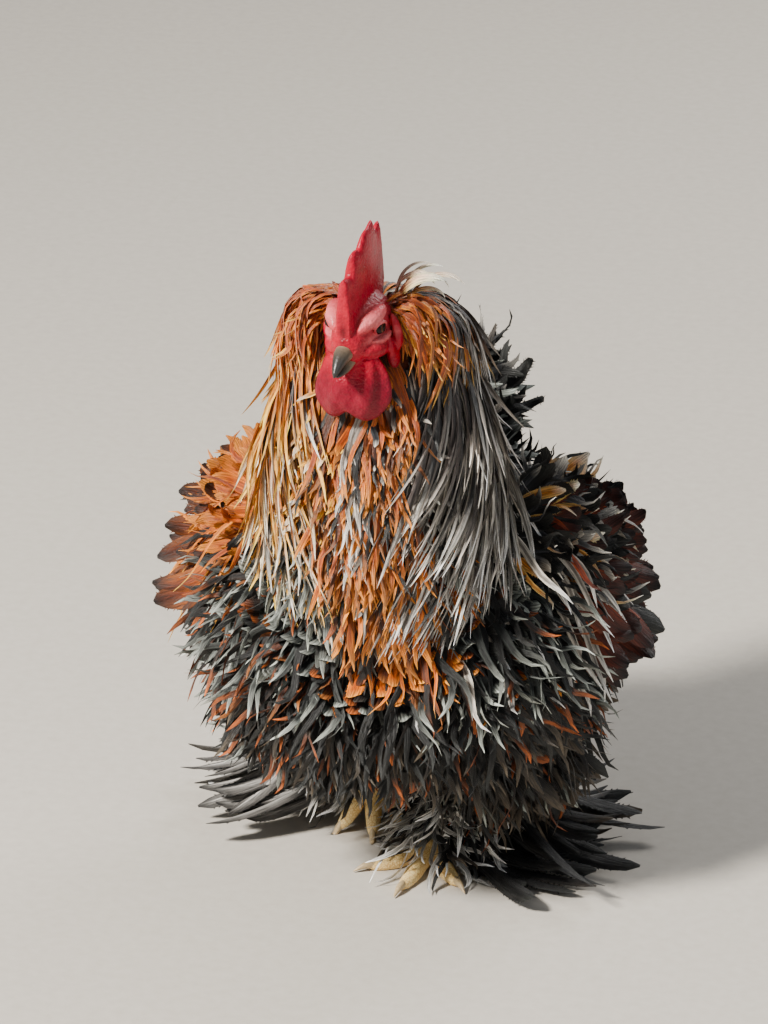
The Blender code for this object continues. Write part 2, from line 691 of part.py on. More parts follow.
def grow_wing(plumage, name, wing):
    """Three tiers that overlap: flight feathers fanned from the lower edge, then two rows of coverts."""
    side = SIDES[name.split("_")[1]]
    chance = plumage.chance
    for start, end, count, angle, size, rise, curl, down, shape in WING_TIERS:
        for k in range(count):
            share = k / (count - 1)
            u = start + (end - start) * share
            lower = math.radians(angle)
            at, out = seat(wing, u, lower if side > 0 else math.pi - lower)
            lie = Vector((0.15 * side, 0.55 + 0.55 * share, -down * (1.15 - 0.5 * share)))
            scale = 0.92 + 0.16 * math.sin(math.pi * share) + chance.uniform(-0.04, 0.04)
            feather = Feather(at, lie, out, size[0] * scale, size[1] * scale,
                              math.radians(rise + chance.uniform(-5, 5)), math.radians(curl + chance.uniform(-8, 8)),
                              chance.uniform(-0.15, 0.15), shape)
            plumage.grow(name, feather, 7)


def grow_tail(plumage, tail):
    """Rings of curled sickles round the tail's root, the last ones longest."""
    for row, (u, count, length, width, rise, curl) in enumerate(TAIL_ROWS):
        grow_row(plumage, "tail", tail, u, staggered(count, row, -0.35, math.pi + 0.35), lambda at: (1.5 * at.x, 1.0, 0.5),
                 (length, width), rise, curl, FLIGHT)


def grow_thigh(plumage, name, thigh):
    """Fluff down to the hock."""
    for row, (u, count) in enumerate(THIGH_ROWS):
        grow_row(plumage, name, thigh, u, staggered(count, row), lambda at: (0.0, 0.45, -1.0), THIGH_FEATHER,
                 26, 50, BROAD)


def grow_foot_feathers(plumage, name, shank):
    """Long vanes that wind down the shank and droop towards the floor, the lower ones below the upper."""
    side = SIDES[name.split("_")[1]]
    chance = plumage.chance
    for k in range(FOOT_FEATHERS):
        share = k / (FOOT_FEATHERS - 1)
        u = FOOT_FEATHER_PLACES[0] + (FOOT_FEATHER_PLACES[1] - FOOT_FEATHER_PLACES[0]) * share
        turn = (k * 0.382) % 1.0
        heading = FOOT_FEATHER_HEADINGS[0] + (FOOT_FEATHER_HEADINGS[1] - FOOT_FEATHER_HEADINGS[0]) * turn
        length = FOOT_FEATHER_LENGTHS[0] + (FOOT_FEATHER_LENGTHS[1] - FOOT_FEATHER_LENGTHS[0]) * share
        lie = Vector((side * math.cos(heading), math.sin(heading), 0.0))
        at = shank.axes(u)[0] + lie * SHANK_RADIUS
        fall = math.asin(min(0.62 * at.z / length, 0.8))
        feather = Feather(at, lie, Vector((0, 0, 1)), length * chance.uniform(0.94, 1.06), FOOT_FEATHER_WIDTH,
                          -fall - math.radians(13), math.radians(30), 0.0, FLIGHT)
        feather.depth = 0.0
        plumage.grow(name, feather, 4)


def clothe(obj, plumage):
    """Fuses the feathers of a body to it."""
    pieces = bpy.data.collections.new(obj.name + "_feathers")
    bpy.context.scene.collection.children.link(pieces)
    for points, faces in plumage.feathers[obj.name]:
        add_object("feather", points, faces, None, pieces, obj.parent)
    fuse(obj, pieces)


def stand_at_origin(bird, pieces):
    """Moves the bird so that the middle of its outline, seen from above, is at the origin."""
    bpy.context.view_layer.update()
    points = np.array([piece.matrix_world @ v.co for piece in pieces for v in piece.data.vertices])
    middle = (points.min(axis=0) + points.max(axis=0)) / 2
    bird.location = (-middle[0], -middle[1], 0.0)


def main():
    for obj in list(bpy.data.objects):
        bpy.data.objects.remove(obj)
    parts = bpy.data.collections.new("frizzle_chicken")
    cutters = bpy.data.collections.new("cutters")
    bpy.context.scene.collection.children.link(parts)
    bpy.context.scene.collection.children.link(cutters)

    black = finish("blue_black_feather", (0.045, 0.045, 0.055), 0.55)
    gold = finish("gold_feather", (0.52, 0.20, 0.05), 0.6)
    red = finish("red_skin", (0.62, 0.02, 0.06), 0.45)
    horn = finish("horn", (0.16, 0.14, 0.12), 0.35)
    amber = finish("eye", (0.35, 0.12, 0.03), 0.1)
    yellow = finish("yellow_scale", (0.66, 0.48, 0.20), 0.5)

    bird = bpy.data.objects.new("bird", None)
    parts.objects.link(bird)
    head_pose = bpy.data.objects.new("head_pose", None)
    parts.objects.link(head_pose)
    head_pose.parent = bird
    head_pose.location = HEAD_AT
    head_pose.rotation_euler = (HEAD_NOD, 0.0, HEAD_TURN)

    def add(name, form, rings, sides, material, extra=0.0, pose=bird):
        return add_object(name, *form.mesh(rings, sides, extra), material, parts, pose)

    # Head pieces, each cut clear of the ones before it.
    head = add("head", skull_form(), 10, 14, red, pose=head_pose)
    lids = bpy.data.collections.new("lids")
    bpy.context.scene.collection.children.link(lids)
    for side in SIDES.values():
        add_object("lid", *lid_ring(side), None, lids, head_pose)
    fuse(head, lids)
    eyes = []
    for name, side in SIDES.items():
        bm = bmesh.new()
        bmesh.ops.create_uvsphere(bm, u_segments=10, v_segments=7, radius=EYE_RADIUS)
        bmesh.ops.translate(bm, verts=bm.verts, vec=(side * EYE_AT[0], EYE_AT[1], EYE_AT[2]))
        mesh = bpy.data.meshes.new("eye_" + name)
        bm.to_mesh(mesh)
        bm.free()
        mesh.materials.append(amber)
        eye = bpy.data.objects.new("eye_" + name, mesh)
        parts.objects.link(eye)
        eye.parent = head_pose
        cut_clear(eye, [], cutters)
        eyes.append(eye)
    cut_clear(head, eyes, cutters)
    upper = add("beak_upper", beak_form(True), 6, 10, horn, pose=head_pose)
    cut_clear(upper, [head], cutters)
    for name, side in SIDES.items():
        slit = add_object("nostril_" + name, *nostril_form(side).mesh(3, 6), None, cutters, head_pose)
        slit.hide_render = True
        slit.display_type = "WIRE"
        cut(upper, slit)
    lower = add("beak_lower", beak_form(False), 5, 8, horn, pose=head_pose)
    cut_clear(lower, [head, upper], cutters)
    comb = comb_object(red, parts, head_pose)
    cut_clear(comb, [head, upper], cutters)
    face = [head, *eyes, upper, lower, comb]
    for name, side in SIDES.items():
        wattle = add("wattle_" + name, wattle_form(side), 8, 11, red, pose=head_pose)
        cut_clear(wattle, face, cutters)
        face.append(wattle)
    for name, side in SIDES.items():
        lobe = add("earlobe_" + name, earlobe_form(side), 5, 7, red, pose=head_pose)
        cut_clear(lobe, face, cutters)
        face.append(lobe)

    # Bare bodies, each cut clear of the ones before it.
    torso, neck = torso_form(), neck_form()
    forms = {"torso": torso, "neck": neck, "tail": tail_form(torso)}
    for name in SIDES:
        forms["wing_" + name] = wing_form(name, torso)
        forms["thigh_" + name] = thigh_form(name)
        forms["shank_" + name] = shank_form(name)
    bodies = {}
    for name, (rings, sides, material) in {
        "torso": (10, 16, gold), "neck": (9, 14, gold), "tail": (6, 12, black),
        "wing_left": (7, 12, gold), "wing_right": (7, 12, gold),
        "thigh_left": (6, 12, black), "thigh_right": (6, 12, black),
        "shank_left": (5, 8, yellow), "shank_right": (5, 8, yellow),
    }.items():
        bodies[name] = add(name, forms[name], rings, sides, material)
    feet = [foot_object(name, yellow, parts, bird) for name in SIDES]

    # Feathers, largest first, clear of every bare body and of each other.
    plumage = Plumage(list(bodies.values()), face + feet, random.Random(7))
    for name in SIDES:
        grow_wing(plumage, "wing_" + name, forms["wing_" + name])
    grow_hackle(plumage, neck)
    grow_tail(plumage, forms["tail"])
    for name in SIDES:
        grow_foot_feathers(plumage, "shank_" + name, forms["shank_" + name])
    grow_body(plumage, torso)
    for name in SIDES:
        grow_thigh(plumage, "thigh_" + name, forms["thigh_" + name])

    done = list(face)
    for piece in [*bodies.values(), *feet]:
        cut_clear(piece, done, cutters)
        done.append(piece)
    for body in bodies.values():
        clothe(body, plumage)
    for cutter in list(cutters.objects):
        bpy.data.objects.remove(cutter)
    bpy.data.collections.remove(cutters)
    stand_at_origin(bird, done)


main()
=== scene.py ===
"""The looks of a frizzle bantam cock in mid step, still and life size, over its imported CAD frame."""

import math

import bpy
import numpy as np
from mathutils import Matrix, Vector


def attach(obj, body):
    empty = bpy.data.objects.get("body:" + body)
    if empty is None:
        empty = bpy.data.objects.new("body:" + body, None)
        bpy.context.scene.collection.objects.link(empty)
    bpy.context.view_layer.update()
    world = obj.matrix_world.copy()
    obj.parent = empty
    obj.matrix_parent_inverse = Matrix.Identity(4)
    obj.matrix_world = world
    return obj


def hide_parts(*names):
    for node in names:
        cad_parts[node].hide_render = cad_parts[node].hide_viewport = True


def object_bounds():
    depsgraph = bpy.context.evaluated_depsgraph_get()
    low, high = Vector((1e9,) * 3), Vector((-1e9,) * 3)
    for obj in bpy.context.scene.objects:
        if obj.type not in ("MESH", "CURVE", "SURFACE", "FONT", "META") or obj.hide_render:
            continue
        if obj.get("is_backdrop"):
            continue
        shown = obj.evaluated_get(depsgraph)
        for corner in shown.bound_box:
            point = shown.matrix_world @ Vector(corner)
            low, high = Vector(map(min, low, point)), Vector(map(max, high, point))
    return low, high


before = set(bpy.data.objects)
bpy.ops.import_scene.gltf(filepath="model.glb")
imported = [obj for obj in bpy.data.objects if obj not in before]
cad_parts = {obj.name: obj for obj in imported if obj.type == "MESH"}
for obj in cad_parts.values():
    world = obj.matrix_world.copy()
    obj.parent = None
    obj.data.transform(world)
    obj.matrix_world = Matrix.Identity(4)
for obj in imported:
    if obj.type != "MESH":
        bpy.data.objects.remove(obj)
cad_low, cad_high = (np.array(corner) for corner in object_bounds())

# The bird's skin
# One thin sheet of skin over torso, neck, wings, tail root, thighs and shanks. The coat hides nearly
# all of it. It carries the coat's own markings at half strength, as painted shade, so that nothing pale
# shows between the feathers.

BIRD_AT = (0.000682, -0.004622, 0.0)
SIDES = {"left": 1.0, "right": -1.0}
FULL_TURN = 2 * math.pi
UNDER_CORE, UNDER_SHANK = -0.004, -0.0008
SKIN_VOXEL, SKIN_ROUNDS = 0.0022, 8


def unit(way):
    """Each vector over its own length."""
    return way / np.maximum(np.linalg.norm(way, axis=-1, keepdims=True), 1e-12)


def linear(code):
    """An sRGB hex colour as linear light, by the sRGB curve."""
    srgb = np.array([int(code[i:i + 2], 16) for i in (0, 2, 4)]) / 255
    return np.where(srgb <= 0.04045, srgb / 12.92, ((srgb + 0.055) / 1.055) ** 2.4)


def smooth(rows, u):
    """The Catmull-Rom cubic through rows, read at every u from 0 to 1."""
    rows = np.asarray(rows, float)
    t = np.clip(u, 0, 1) * (len(rows) - 1)
    i = np.minimum(t.astype(int), len(rows) - 2)
    f = (t - i)[..., None]
    a, b, c, d = (rows[np.clip(i + k, 0, len(rows) - 1)] for k in (-1, 0, 1, 2))
    cubic = 2 * b + (c - a) * f + (2 * a - 5 * b + 4 * c - d) * f**2 + (3 * b - a - 3 * c + d) * f**3
    return 0.5 * cubic


def line(start, end, shares, widths, depths, sag=(0, 0, 0)):
    """Rows of centre, half width and half depth on a line from start to end, bowed by sag in the middle."""
    share = np.array(shares, float)[:, None]
    bow = np.array(sag) * (4 * share * (1 - share))
    return np.column_stack([np.array(start) * (1 - share) + np.array(end) * share + bow, widths, depths])


def body_form(rows, start, end, turn=0.0, relief=None, moved=BIRD_AT):
    """A round body's rows, moved to where the bird stands, and the share of it that each end rounds off."""
    rows = np.array(rows, float)
    rows[:, :3] += moved
    return {"rows": rows, "start": start, "end": end, "turn": turn, "relief": relief}


def axes(form, u):
    """Centre and way along the line at u, and the two ways across it, the first as near X as may be."""
    rows = form["rows"]
    along = unit(smooth(rows, u + 0.01)[..., :3] - smooth(rows, u - 0.01)[..., :3])
    x = np.array([1.0, 0.0, 0.0])
    side = unit(x - along * along[..., :1])
    side = side * math.cos(form["turn"]) + np.cross(along, side) * math.sin(form["turn"])
    return smooth(rows, u)[..., :3], along, side, np.cross(side, along)


def surface(form, u, angle, extra=0.0):
    """A round body: at u along the line, an ellipse swept by angle, shrunk by a quarter circle at each end.
    `extra` is added to its radii, and to its length at both poles."""
    u, angle = np.broadcast_arrays(np.asarray(u, float), np.asarray(angle, float))
    centre, along, side, up = axes(form, u)
    row = smooth(form["rows"], u)
    start = 1 - np.minimum(u / form["start"], 1)
    end = 1 - np.minimum((1 - u) / form["end"], 1)
    cap = np.sqrt(np.maximum(1 - start**2, 0)) * np.sqrt(np.maximum(1 - end**2, 0))
    bump = form["relief"](u, angle) if form["relief"] else 0.0
    across = (row[..., 3] + extra + bump) * cap * np.cos(angle)
    rise = (row[..., 4] + extra + bump) * cap * np.sin(angle)
    push = extra * (1 - cap) * np.where(u > 0.5, 1.0, -1.0)
    return centre + side * across[..., None] + up * rise[..., None] + along * push[..., None]


def grid(rows, columns, wrap=False):
    """Corner numbers of the four-sided faces between the rows and columns of a grid of points."""
    r, c = np.meshgrid(np.arange(rows - 1), np.arange(columns if wrap else columns - 1), indexing="ij")
    r, c, d = r.ravel(), c.ravel(), (c.ravel() + 1) % columns
    return np.column_stack([r * columns + c, r * columns + d, (r + 1) * columns + d, (r + 1) * columns + c])


def shell(form, rings, sides, extra=0.0):
    """Points, quads and triangles of a closed round body: rings set closer near its two poles."""
    u = 0.5 - 0.5 * np.cos(np.pi * np.arange(1, rings + 1) / (rings + 1))
    angle = -2 * np.pi * np.arange(sides) / sides
    middle = surface(form, u[:, None], angle[None], extra).reshape(-1, 3)
    poles = surface(form, np.array([0.0, 1.0]), 0.0, extra)
    around = np.arange(sides)
    after = (around + 1) % sides
    last = (rings - 1) * sides
    start = np.column_stack([np.full(sides, len(middle)), after, around])
    end = np.column_stack([np.full(sides, len(middle) + 1), last + around, last + after])
    return np.vstack([middle, poles]), grid(rings, sides, True), np.vstack([start, end])


def joined(shells):
    """One set of points, quads and triangles out of several."""
    starts = np.cumsum([0] + [len(s[0]) for s in shells[:-1]])
    faces = (np.vstack([s[part] + k for s, k in zip(shells, starts)]) for part in (1, 2))
    return np.vstack([s[0] for s in shells]), *faces


def mesh_object(name, points, quads, triangles=()):
    """A smooth-shaded object at the origin from whole arrays of points and faces."""
    triangles = np.array(triangles, int).reshape(-1, 3)
    mesh = bpy.data.meshes.new(name)
    mesh.vertices.add(len(points))
    mesh.vertices.foreach_set("co", np.asarray(points, np.float32).ravel())
    corners = np.concatenate([quads.ravel(), triangles.ravel()]).astype(np.int32)
    starts = np.concatenate([4 * np.arange(len(quads)), 4 * len(quads) + 3 * np.arange(len(triangles))])
    mesh.loops.add(len(corners))
    mesh.loops.foreach_set("vertex_index", corners)
    mesh.polygons.add(len(starts))
    mesh.polygons.foreach_set("loop_start", starts.astype(np.int32))
    mesh.update(calc_edges=True)
    mesh.shade_smooth()
    made = bpy.data.objects.new(name, mesh)
    bpy.context.scene.collection.objects.link(made)
    return made


def fused(obj, voxel, rounds):
    """Melts the overlapping closed bodies of obj into one skin of small faces, and evens out its seams."""
    melt = obj.modifiers.new("melt", "REMESH")
    melt.mode = "VOXEL"
    melt.voxel_size = voxel
    even = obj.modifiers.new("even", "SMOOTH")
    even.factor = 0.5
    even.iterations = rounds
    bpy.context.view_layer.update()
    mesh = bpy.data.meshes.new_from_object(obj.evaluated_get(bpy.context.evaluated_depsgraph_get()))
    obj.modifiers.clear()
    obj.data = mesh
    mesh.shade_smooth()
    return obj


def points_of(obj):
    """Every point of the mesh as rows of x, y, z."""
    flat = np.empty(len(obj.data.vertices) * 3, np.float32)
    obj.data.vertices.foreach_get("co", flat)
    return flat.reshape(-1, 3).astype(float)


def paint(obj, colours):
    """Keeps a linear colour for each point, under the name that the materials read."""
    flat = np.column_stack([np.clip(colours, 0, 1), np.ones(len(colours))]).astype(np.float32).ravel()
    obj.data.color_attributes.new("marking", "FLOAT_COLOR", "POINT").data.foreach_set("color", flat)


def node(tree, kind, inputs=(), **settings):
    """A new shader node with its settings. Each input has a value, a socket that feeds it, or a node whose
    first output does."""
    made = tree.nodes.new("ShaderNode" + kind)
    for name, value in settings.items():
        setattr(made, name, value)
    for socket, value in dict(inputs).items():
        if isinstance(value, bpy.types.Node):
            value = value.outputs[0]
        if isinstance(value, bpy.types.NodeSocket):
            tree.links.new(value, made.inputs[socket])
        else:
            made.inputs[socket].default_value = value
    return made


def material(name):
    """An empty node material and its tree."""
    made = bpy.data.materials.new(name)
    made.use_nodes = True
    made.node_tree.nodes.clear()
    return made, made.node_tree


# Middle, edge and tip colour of each kind of feather on this bird.
PLUMES = {
    "rust": ("8A3200", "C45A04", "F09430"), "gold": ("BE5A00", "EE8C00", "FFCB58"),
    "cream": ("CC7412", "FFC870", "FFF5E0"), "mauve": ("1A1617", "6A5E5A", "D6CCC0"),
    "laced": ("0C1018", "4A4A4C", "F2ECE0"), "throat": ("7C7068", "D0C6BA", "FBF6EC"),
    "maroon": ("3C180A", "74380F", "B26C2E"), "orange": ("A04200", "DC7408", "F49C3C"),
    "slate": ("141716", "484D4B", "ABB0A8"), "black": ("060606", "131313", "262826"),
    "silver": ("0C0E0D", "363B38", "C0C6BC"), "mahogany": ("74260A", "A8420F", "0A0A0E"),
    "flame": ("8E3802", "CC6A0C", "040303"), "tipped": ("0B0A0B", "2A1A10", "B85C1C"),
    "streaked": ("060505", "231C17", "5E5242"), "foot": ("B8B4AE", "45423F", "2C2A28"),
    "fluff": ("98948C", "D2CEC6", "FFFDF8"), "ivory": ("5E564E", "D8CFC0", "FFFDF8"),
    "amber": ("A64A04", "E08A1A", "F6C25A"),
}
KINDS = list(PLUMES)
TINTS = np.array([[linear(code) for code in PLUMES[kind]] for kind in KINDS])


def marking(at, tract, chance):
    """Which kind of plume shows at each place. Every tract has groups of places. A group gives its kinds,
    each with the chance up to which it shows. Slow sine waves over the body shift the chance, so that
    neighbours are often of one kind."""
    x, y, z = (at - BIRD_AT).T
    roll = chance.random(len(at))
    wave = 0.5 + 0.5 * np.sin(150 * x + 3 * np.sin(90 * z)) * np.sin(130 * z + 90 * y + 2 * np.sin(120 * x))
    if tract in ("body", "flank", "thigh", "shoulder"):
        roll = (0.62 * roll + 0.38 * wave + 0.13) % 1
    if tract in ("hackle", "ruff"):
        x = x + np.clip(y + 0.036, 0, 0.05) * chance.uniform(-0.7, 0.7, len(x))
    heading = np.degrees(np.arctan2(x, -(y + 0.036)))
    breast = np.exp(-(((x - 0.020) / 0.034) ** 2)) * np.clip((z - 0.112) / 0.02, 0, 1)
    left_cheek = (x > 0) & (heading > 58) & (z < 0.325)
    bib = (np.abs(heading - 6) < 24) & (z < 0.225)
    # Painted shade: on the bird's left (x > 0), the side away from the key light, the hackle, ruff, body,
    # flank, shoulder and wing groups give darker kinds than on its right (mauve, laced, black and mahogany
    # against gold, cream, slate, silver and flame). The dark centres of the mauve and laced hackles are the
    # bird's own; the rest of that difference is painted shade.
    groups = {
        "throat": [
            ((np.abs(x + 0.001) < 0.0065) & (z > 0.200), (0.55, "throat")),
            (True, (0.28, "maroon"), (0.50, "rust"), (0.82, "orange"), (1, "black")),
        ],
        "ruff": [
            (left_cheek, (0.55, "mauve"), (0.70, "ivory")),
            ((x < 0) & (z < 0.295), (0.60, "gold")),
            (True, (0.60, "rust"), (0.90, "amber"), (1, "gold")),
        ],
        "hackle": [
            (bib, (0.22, "maroon"), (0.74, "orange")),
            (np.abs(heading - 4) < 16, (0.30, "maroon"), (0.60, "rust")),
            ((x <= 0) & (z > 0.288), (0.50, "rust"), (1, "amber")),
            (x <= 0, (0.07, "laced"), (0.20, "amber"), (0.60 - 6.0 * (z - 0.222), "cream"), (1, "gold")),
            ((heading < 52) & (z > 0.286), (0.65, "rust"), (1, "amber")),
            (z > 0.225, (0.66, "mauve"), (0.82, "ivory"), (1, "laced")),
            (True, (0.12, "mauve"), (0.30, "laced"), (0.90, "ivory"), (1, "black")),
        ],
        "body": [
            (y < 0, (0.78 * breast, "orange"), (0.92 * breast, "maroon"), (0.97 * breast, "tipped")),
            (z < 0.112, (0.66, "black"), (0.82, "streaked"), (0.90, "tipped"), (1, "black")),
            (x < 0, (0.36, "slate"), (0.54, "black"), (0.64, "tipped"), (0.90, "silver"), (1, "maroon")),
            (True, (0.52, "black"), (0.80, "silver"), (0.87, "tipped"), (0.91, "ivory"), (1, "black")),
        ],
        "flank": [
            (x < 0, (0.40, "slate"), (0.66, "black"), (0.80, "tipped"), (1, "silver")),
            (True, (0.60, "black"), (0.76, "streaked"), (0.88, "tipped"), (1, "silver")),
        ],
        "wing": [(x < 0, (0.92, "flame"), (1, "black")), (True, (0.82, "mahogany"), (1, "black"))],
        "shoulder": [
            (x < 0, (0.50, "rust"), (0.90, "orange"), (1, "black")),
            (True, (0.62, "black"), (0.80, "laced"), (0.90, "cream"), (1, "mahogany")),
        ],
        "rear": [(True, (0.70, "black"), (0.82, "silver"), (0.93, "mauve"), (1, "laced"))],
        "thigh": [(True, (0.58, "black"), (0.86, "streaked"), (0.92, "tipped"), (1, "silver"))],
        "foot": [
            (x < 0, (0.70, "foot"), (0.84, "fluff"), (1, "foot")),
            (True, (0.62, "black"), (0.80, "streaked"), (1, "foot")),
        ],
        "fluff": [(True, (0.74, "fluff"), (0.88, "streaked"), (1, "black"))],
    }[tract]
    cases = [(where & (roll < limit), KINDS.index(kind))
             for where, *limits in groups for limit, kind in limits]
    return np.select([case for case, _ in cases], [kind for _, kind in cases])


TORSO_HALF_WIDTH, TORSO_HALF_DEPTH = 0.079, 0.072
shares = np.array([0, 0.17, 0.40, 0.62, 0.83, 1])
torso = body_form(np.column_stack([
    np.zeros(6), -0.072 + 0.158 * shares, 0.142 + np.array([0.016, 0.008, 0, 0.002, 0.014, 0.030]),
    TORSO_HALF_WIDTH * np.array([0.62, 0.86, 1, 1, 0.84, 0.58]),
    TORSO_HALF_DEPTH * np.array([0.66, 0.90, 1, 0.98, 0.80, 0.55])]), 0.30, 0.30)
neck_sizes = 0.054 * np.array([1.0, 0.90, 0.76, 0.62, 0.51, 0.463])
neck = body_form(line((0, -0.022, 0.165), (0, -0.045, 0.322), (0, 0.22, 0.45, 0.68, 0.88, 1),
                      neck_sizes, neck_sizes, (0, -0.017, 0)), 0.05, 0.16)
rump = surface(torso, 0.80, math.radians(60)) - BIRD_AT
rump[0] = 0.0
tail_root = body_form(line(rump, rump + (0, 0.046, 0.034), (0, 0.35, 0.7, 1),
                           (0.030, 0.027, 0.021, 0.013), (0.026, 0.022, 0.017, 0.011)), 0.2, 0.35)
wings, thighs, shanks = {}, {}, {}
HOCKS = {"left": (0.030, 0.036, 0.052), "right": (-0.034, 0.062, 0.070)}
BALLS = {"left": (0.016, 0.006, 0.0085), "right": (-0.021, 0.040, 0.0325)}
for name, side in SIDES.items():
    lifts = np.radians([42, 34, 20, 8, 4])
    lifts = lifts if side > 0 else np.pi - lifts
    places = surface(torso, np.array([0.20, 0.36, 0.54, 0.72, 0.90]), lifts) - BIRD_AT
    wings[name] = body_form(np.column_stack([
        places, (0.010, 0.013, 0.014, 0.012, 0.008), (0.020, 0.030, 0.034, 0.028, 0.016)]), 0.22, 0.30)
    sizes = 0.033 * np.array([[1.0, 1.02, 0.78, 0.42], [1.1, 1.08, 0.82, 0.44]])
    thighs[name] = body_form(line((side * 0.040, 0.006, 0.112), HOCKS[name], (0, 0.35, 0.72, 1), *sizes,
                                  (side * 0.004, 0, 0)), 0.15, 0.25)
    hock, ball = np.array(HOCKS[name]), np.array(BALLS[name])
    sizes = 0.0058 * np.array([1.35, 1.0, 0.95, 1.12])
    shanks[name] = body_form(line(hock + unit(hock - ball) * 0.006, ball, (0, 0.3, 0.7, 1), sizes, sizes),
                             0.2, 0.2)

flesh = [shell(torso, 40, 48, UNDER_CORE), shell(neck, 40, 40, UNDER_CORE),
         shell(tail_root, 24, 32, UNDER_CORE)]
for name in SIDES:
    flesh += [shell(wings[name], 30, 32, UNDER_CORE), shell(thighs[name], 30, 32, UNDER_CORE),
              shell(shanks[name], 24, 20, UNDER_SHANK)]
skin = fused(mesh_object("skin", *joined(flesh)), SKIN_VOXEL, SKIN_ROUNDS)
at = points_of(skin)
rng = np.random.default_rng(3)
kinds = np.where(at[:, 2] > 0.215, marking(at, "hackle", rng), marking(at, "body", rng))
kinds = np.where(at[:, 2] < 0.085, marking(at, "thigh", rng), kinds)
# Painted shade: the middle colour of the coat's kind at each place, at half strength.
paint(skin, TINTS[kinds, 0] * 0.5)

# Bird skin, thin and dry. Its colour is painted shade: the coat's middle colours at half strength, mixed by
# its grain towards near black, so that it reads as deep shade between plumes. Its grain is 2 to 3 mm wide,
# as the quill pits are.
skin_look, tree = material("bird_skin_painted_shade")
place = node(tree, "TexCoord").outputs["Object"]
marks = node(tree, "Attribute", attribute_name="marking")
grain = node(tree, "TexNoise", {"Vector": place, "Scale": 420.0, "Detail": 6.0})
mixed = node(tree, "MixRGB", {"Fac": grain, "Color1": marks, "Color2": (0.012, 0.010, 0.010, 1)})
bumped = node(tree, "Bump", {"Height": grain, "Distance": 0.0012, "Strength": 0.6})
shader = node(tree, "BsdfPrincipled", {
    "Base Color": mixed, "Roughness": 0.75, "IOR": 1.45, "Normal": bumped})
node(tree, "OutputMaterial", {"Surface": shader})
skin.data.materials.append(skin_look)
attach(skin, "root")
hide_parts("torso", "neck", "tail", "wing_left", "wing_right", "thigh_left", "thigh_right",
            "shank_left", "shank_right")

# The head's bare skin
# One soft red skin over skull, brows, lids, ear folds, lobes, wattles and the single comb. It is thick,
# full of blood and pimpled all over with tiny papillae, and the comb is a notched blade.

HEAD_AT = np.array([-0.0008, -0.082, 0.314])
HEAD_TURN, HEAD_NOD = math.radians(-8), math.radians(5)
BEAK_ROOT, SKULL_BACK, SKULL_TOP = -0.0185, 0.0240, 0.0051
COMB_HEIGHT, COMB_HALF, COMB_POINTS = 0.048, 0.0040, 5
EYE_AT, EYE_RADIUS = np.array([0.0116, -0.0030, 0.0062]), 0.0038
FACE_VOXEL, FACE_ROUNDS = 0.00042, 4
turn = np.array([[math.cos(HEAD_TURN), -math.sin(HEAD_TURN), 0],
                 [math.sin(HEAD_TURN), math.cos(HEAD_TURN), 0], [0, 0, 1]])
nod = np.array([[1, 0, 0], [0, math.cos(HEAD_NOD), -math.sin(HEAD_NOD)],
                [0, math.sin(HEAD_NOD), math.cos(HEAD_NOD)]])


def on_neck(points):
    """The head's own frame, nodded and then turned, carried to the top of the neck."""
    return points @ (turn @ nod).T + HEAD_AT + BIRD_AT


def in_head(points):
    """Points of the bird, carried back to the head's own frame."""
    return (points - HEAD_AT - BIRD_AT) @ (turn @ nod)


def head_form(rows, start, end, turned=0.0, relief=None):
    """A round body in the head's own frame."""
    return body_form(rows, start, end, turned, relief, (0, 0, 0))


def ramp(value, start, width):
    """0 up to start, then a straight rise to 1 over the width."""
    return np.clip((value - start) / width, 0, 1)


def comb_blade(columns=150, rows=26):
    """The comb: a blade from the skull's ridge to a notched crest, its thickness an eighth-power curve."""
    front, back = BEAK_ROOT - 0.001, SKULL_BACK + 0.004
    crest = [(front, -0.001), (front + 0.001, 0.004)]
    for k in range(COMB_POINTS):
        share = (k + 0.5) / COMB_POINTS
        tall = COMB_HEIGHT * (0.62, 0.84, 0.965, 0.975, 0.86)[k]
        y, lean = front + (back - front) * share * 1.04, 0.004 * (share - 0.2)
        rising, falling = (0.95, 0.95, 0.95, 0.99, 0.95)[k], (0.965, 0.965, 0.99, 0.965, 0.965)[k]
        crest += [(y - 0.0032 + lean * 0.4, SKULL_TOP + tall * rising),
                  (y - 0.0012 + lean, SKULL_TOP + tall * 0.99),
                  (y + 0.0012 + lean, SKULL_TOP + tall),
                  (y + 0.0032 + lean * 0.6, SKULL_TOP + tall * falling)]
        if k < COMB_POINTS - 1:
            notch = tall * (1.0, 1.02, 0.992, 0.90)[k]
            crest.append((y + 0.5 * (back - front) / COMB_POINTS, SKULL_TOP + notch))
    crest += [(back + 0.003, SKULL_TOP + COMB_HEIGHT * 0.32), (back - 0.002, SKULL_TOP * 0.7)]
    a = np.linspace(0, 1, columns)
    top = smooth(crest, a)
    foot = np.column_stack([front + (back - 0.004 - front) * a, np.full(columns, -0.001)])
    b = np.concatenate([np.linspace(0, 1, rows), np.linspace(1, 0, rows)[1:]])
    sign = np.concatenate([np.ones(rows - 1), [0], -np.ones(rows - 1)])
    place = foot[:, None] + (top - foot)[:, None] * b[None, :, None]
    y, z = place[..., 0], place[..., 1]
    half = COMB_HALF * (1.15 - 0.55 * np.clip(z, 0, 1) / (COMB_HEIGHT + SKULL_TOP))
    ends = np.sqrt(np.maximum(1 - np.abs(2 * a - 1) ** 10, 0))[:, None]
    round_off = np.sqrt(np.maximum(1 - b**8, 0)) * ends
    folds = 0.00045 * np.sin(260 * y + 5 * np.sin(190 * z)) * b * (1 - b)
    bend = (0.0012 * np.sin(150 * y + 0.6) + 0.0016 * b) * b
    points = np.stack([sign * (half * round_off + folds) + bend, y, z], axis=-1)
    return points.reshape(-1, 3), grid(columns, points.shape[1], True)[:, ::-1], np.empty((0, 3), int)


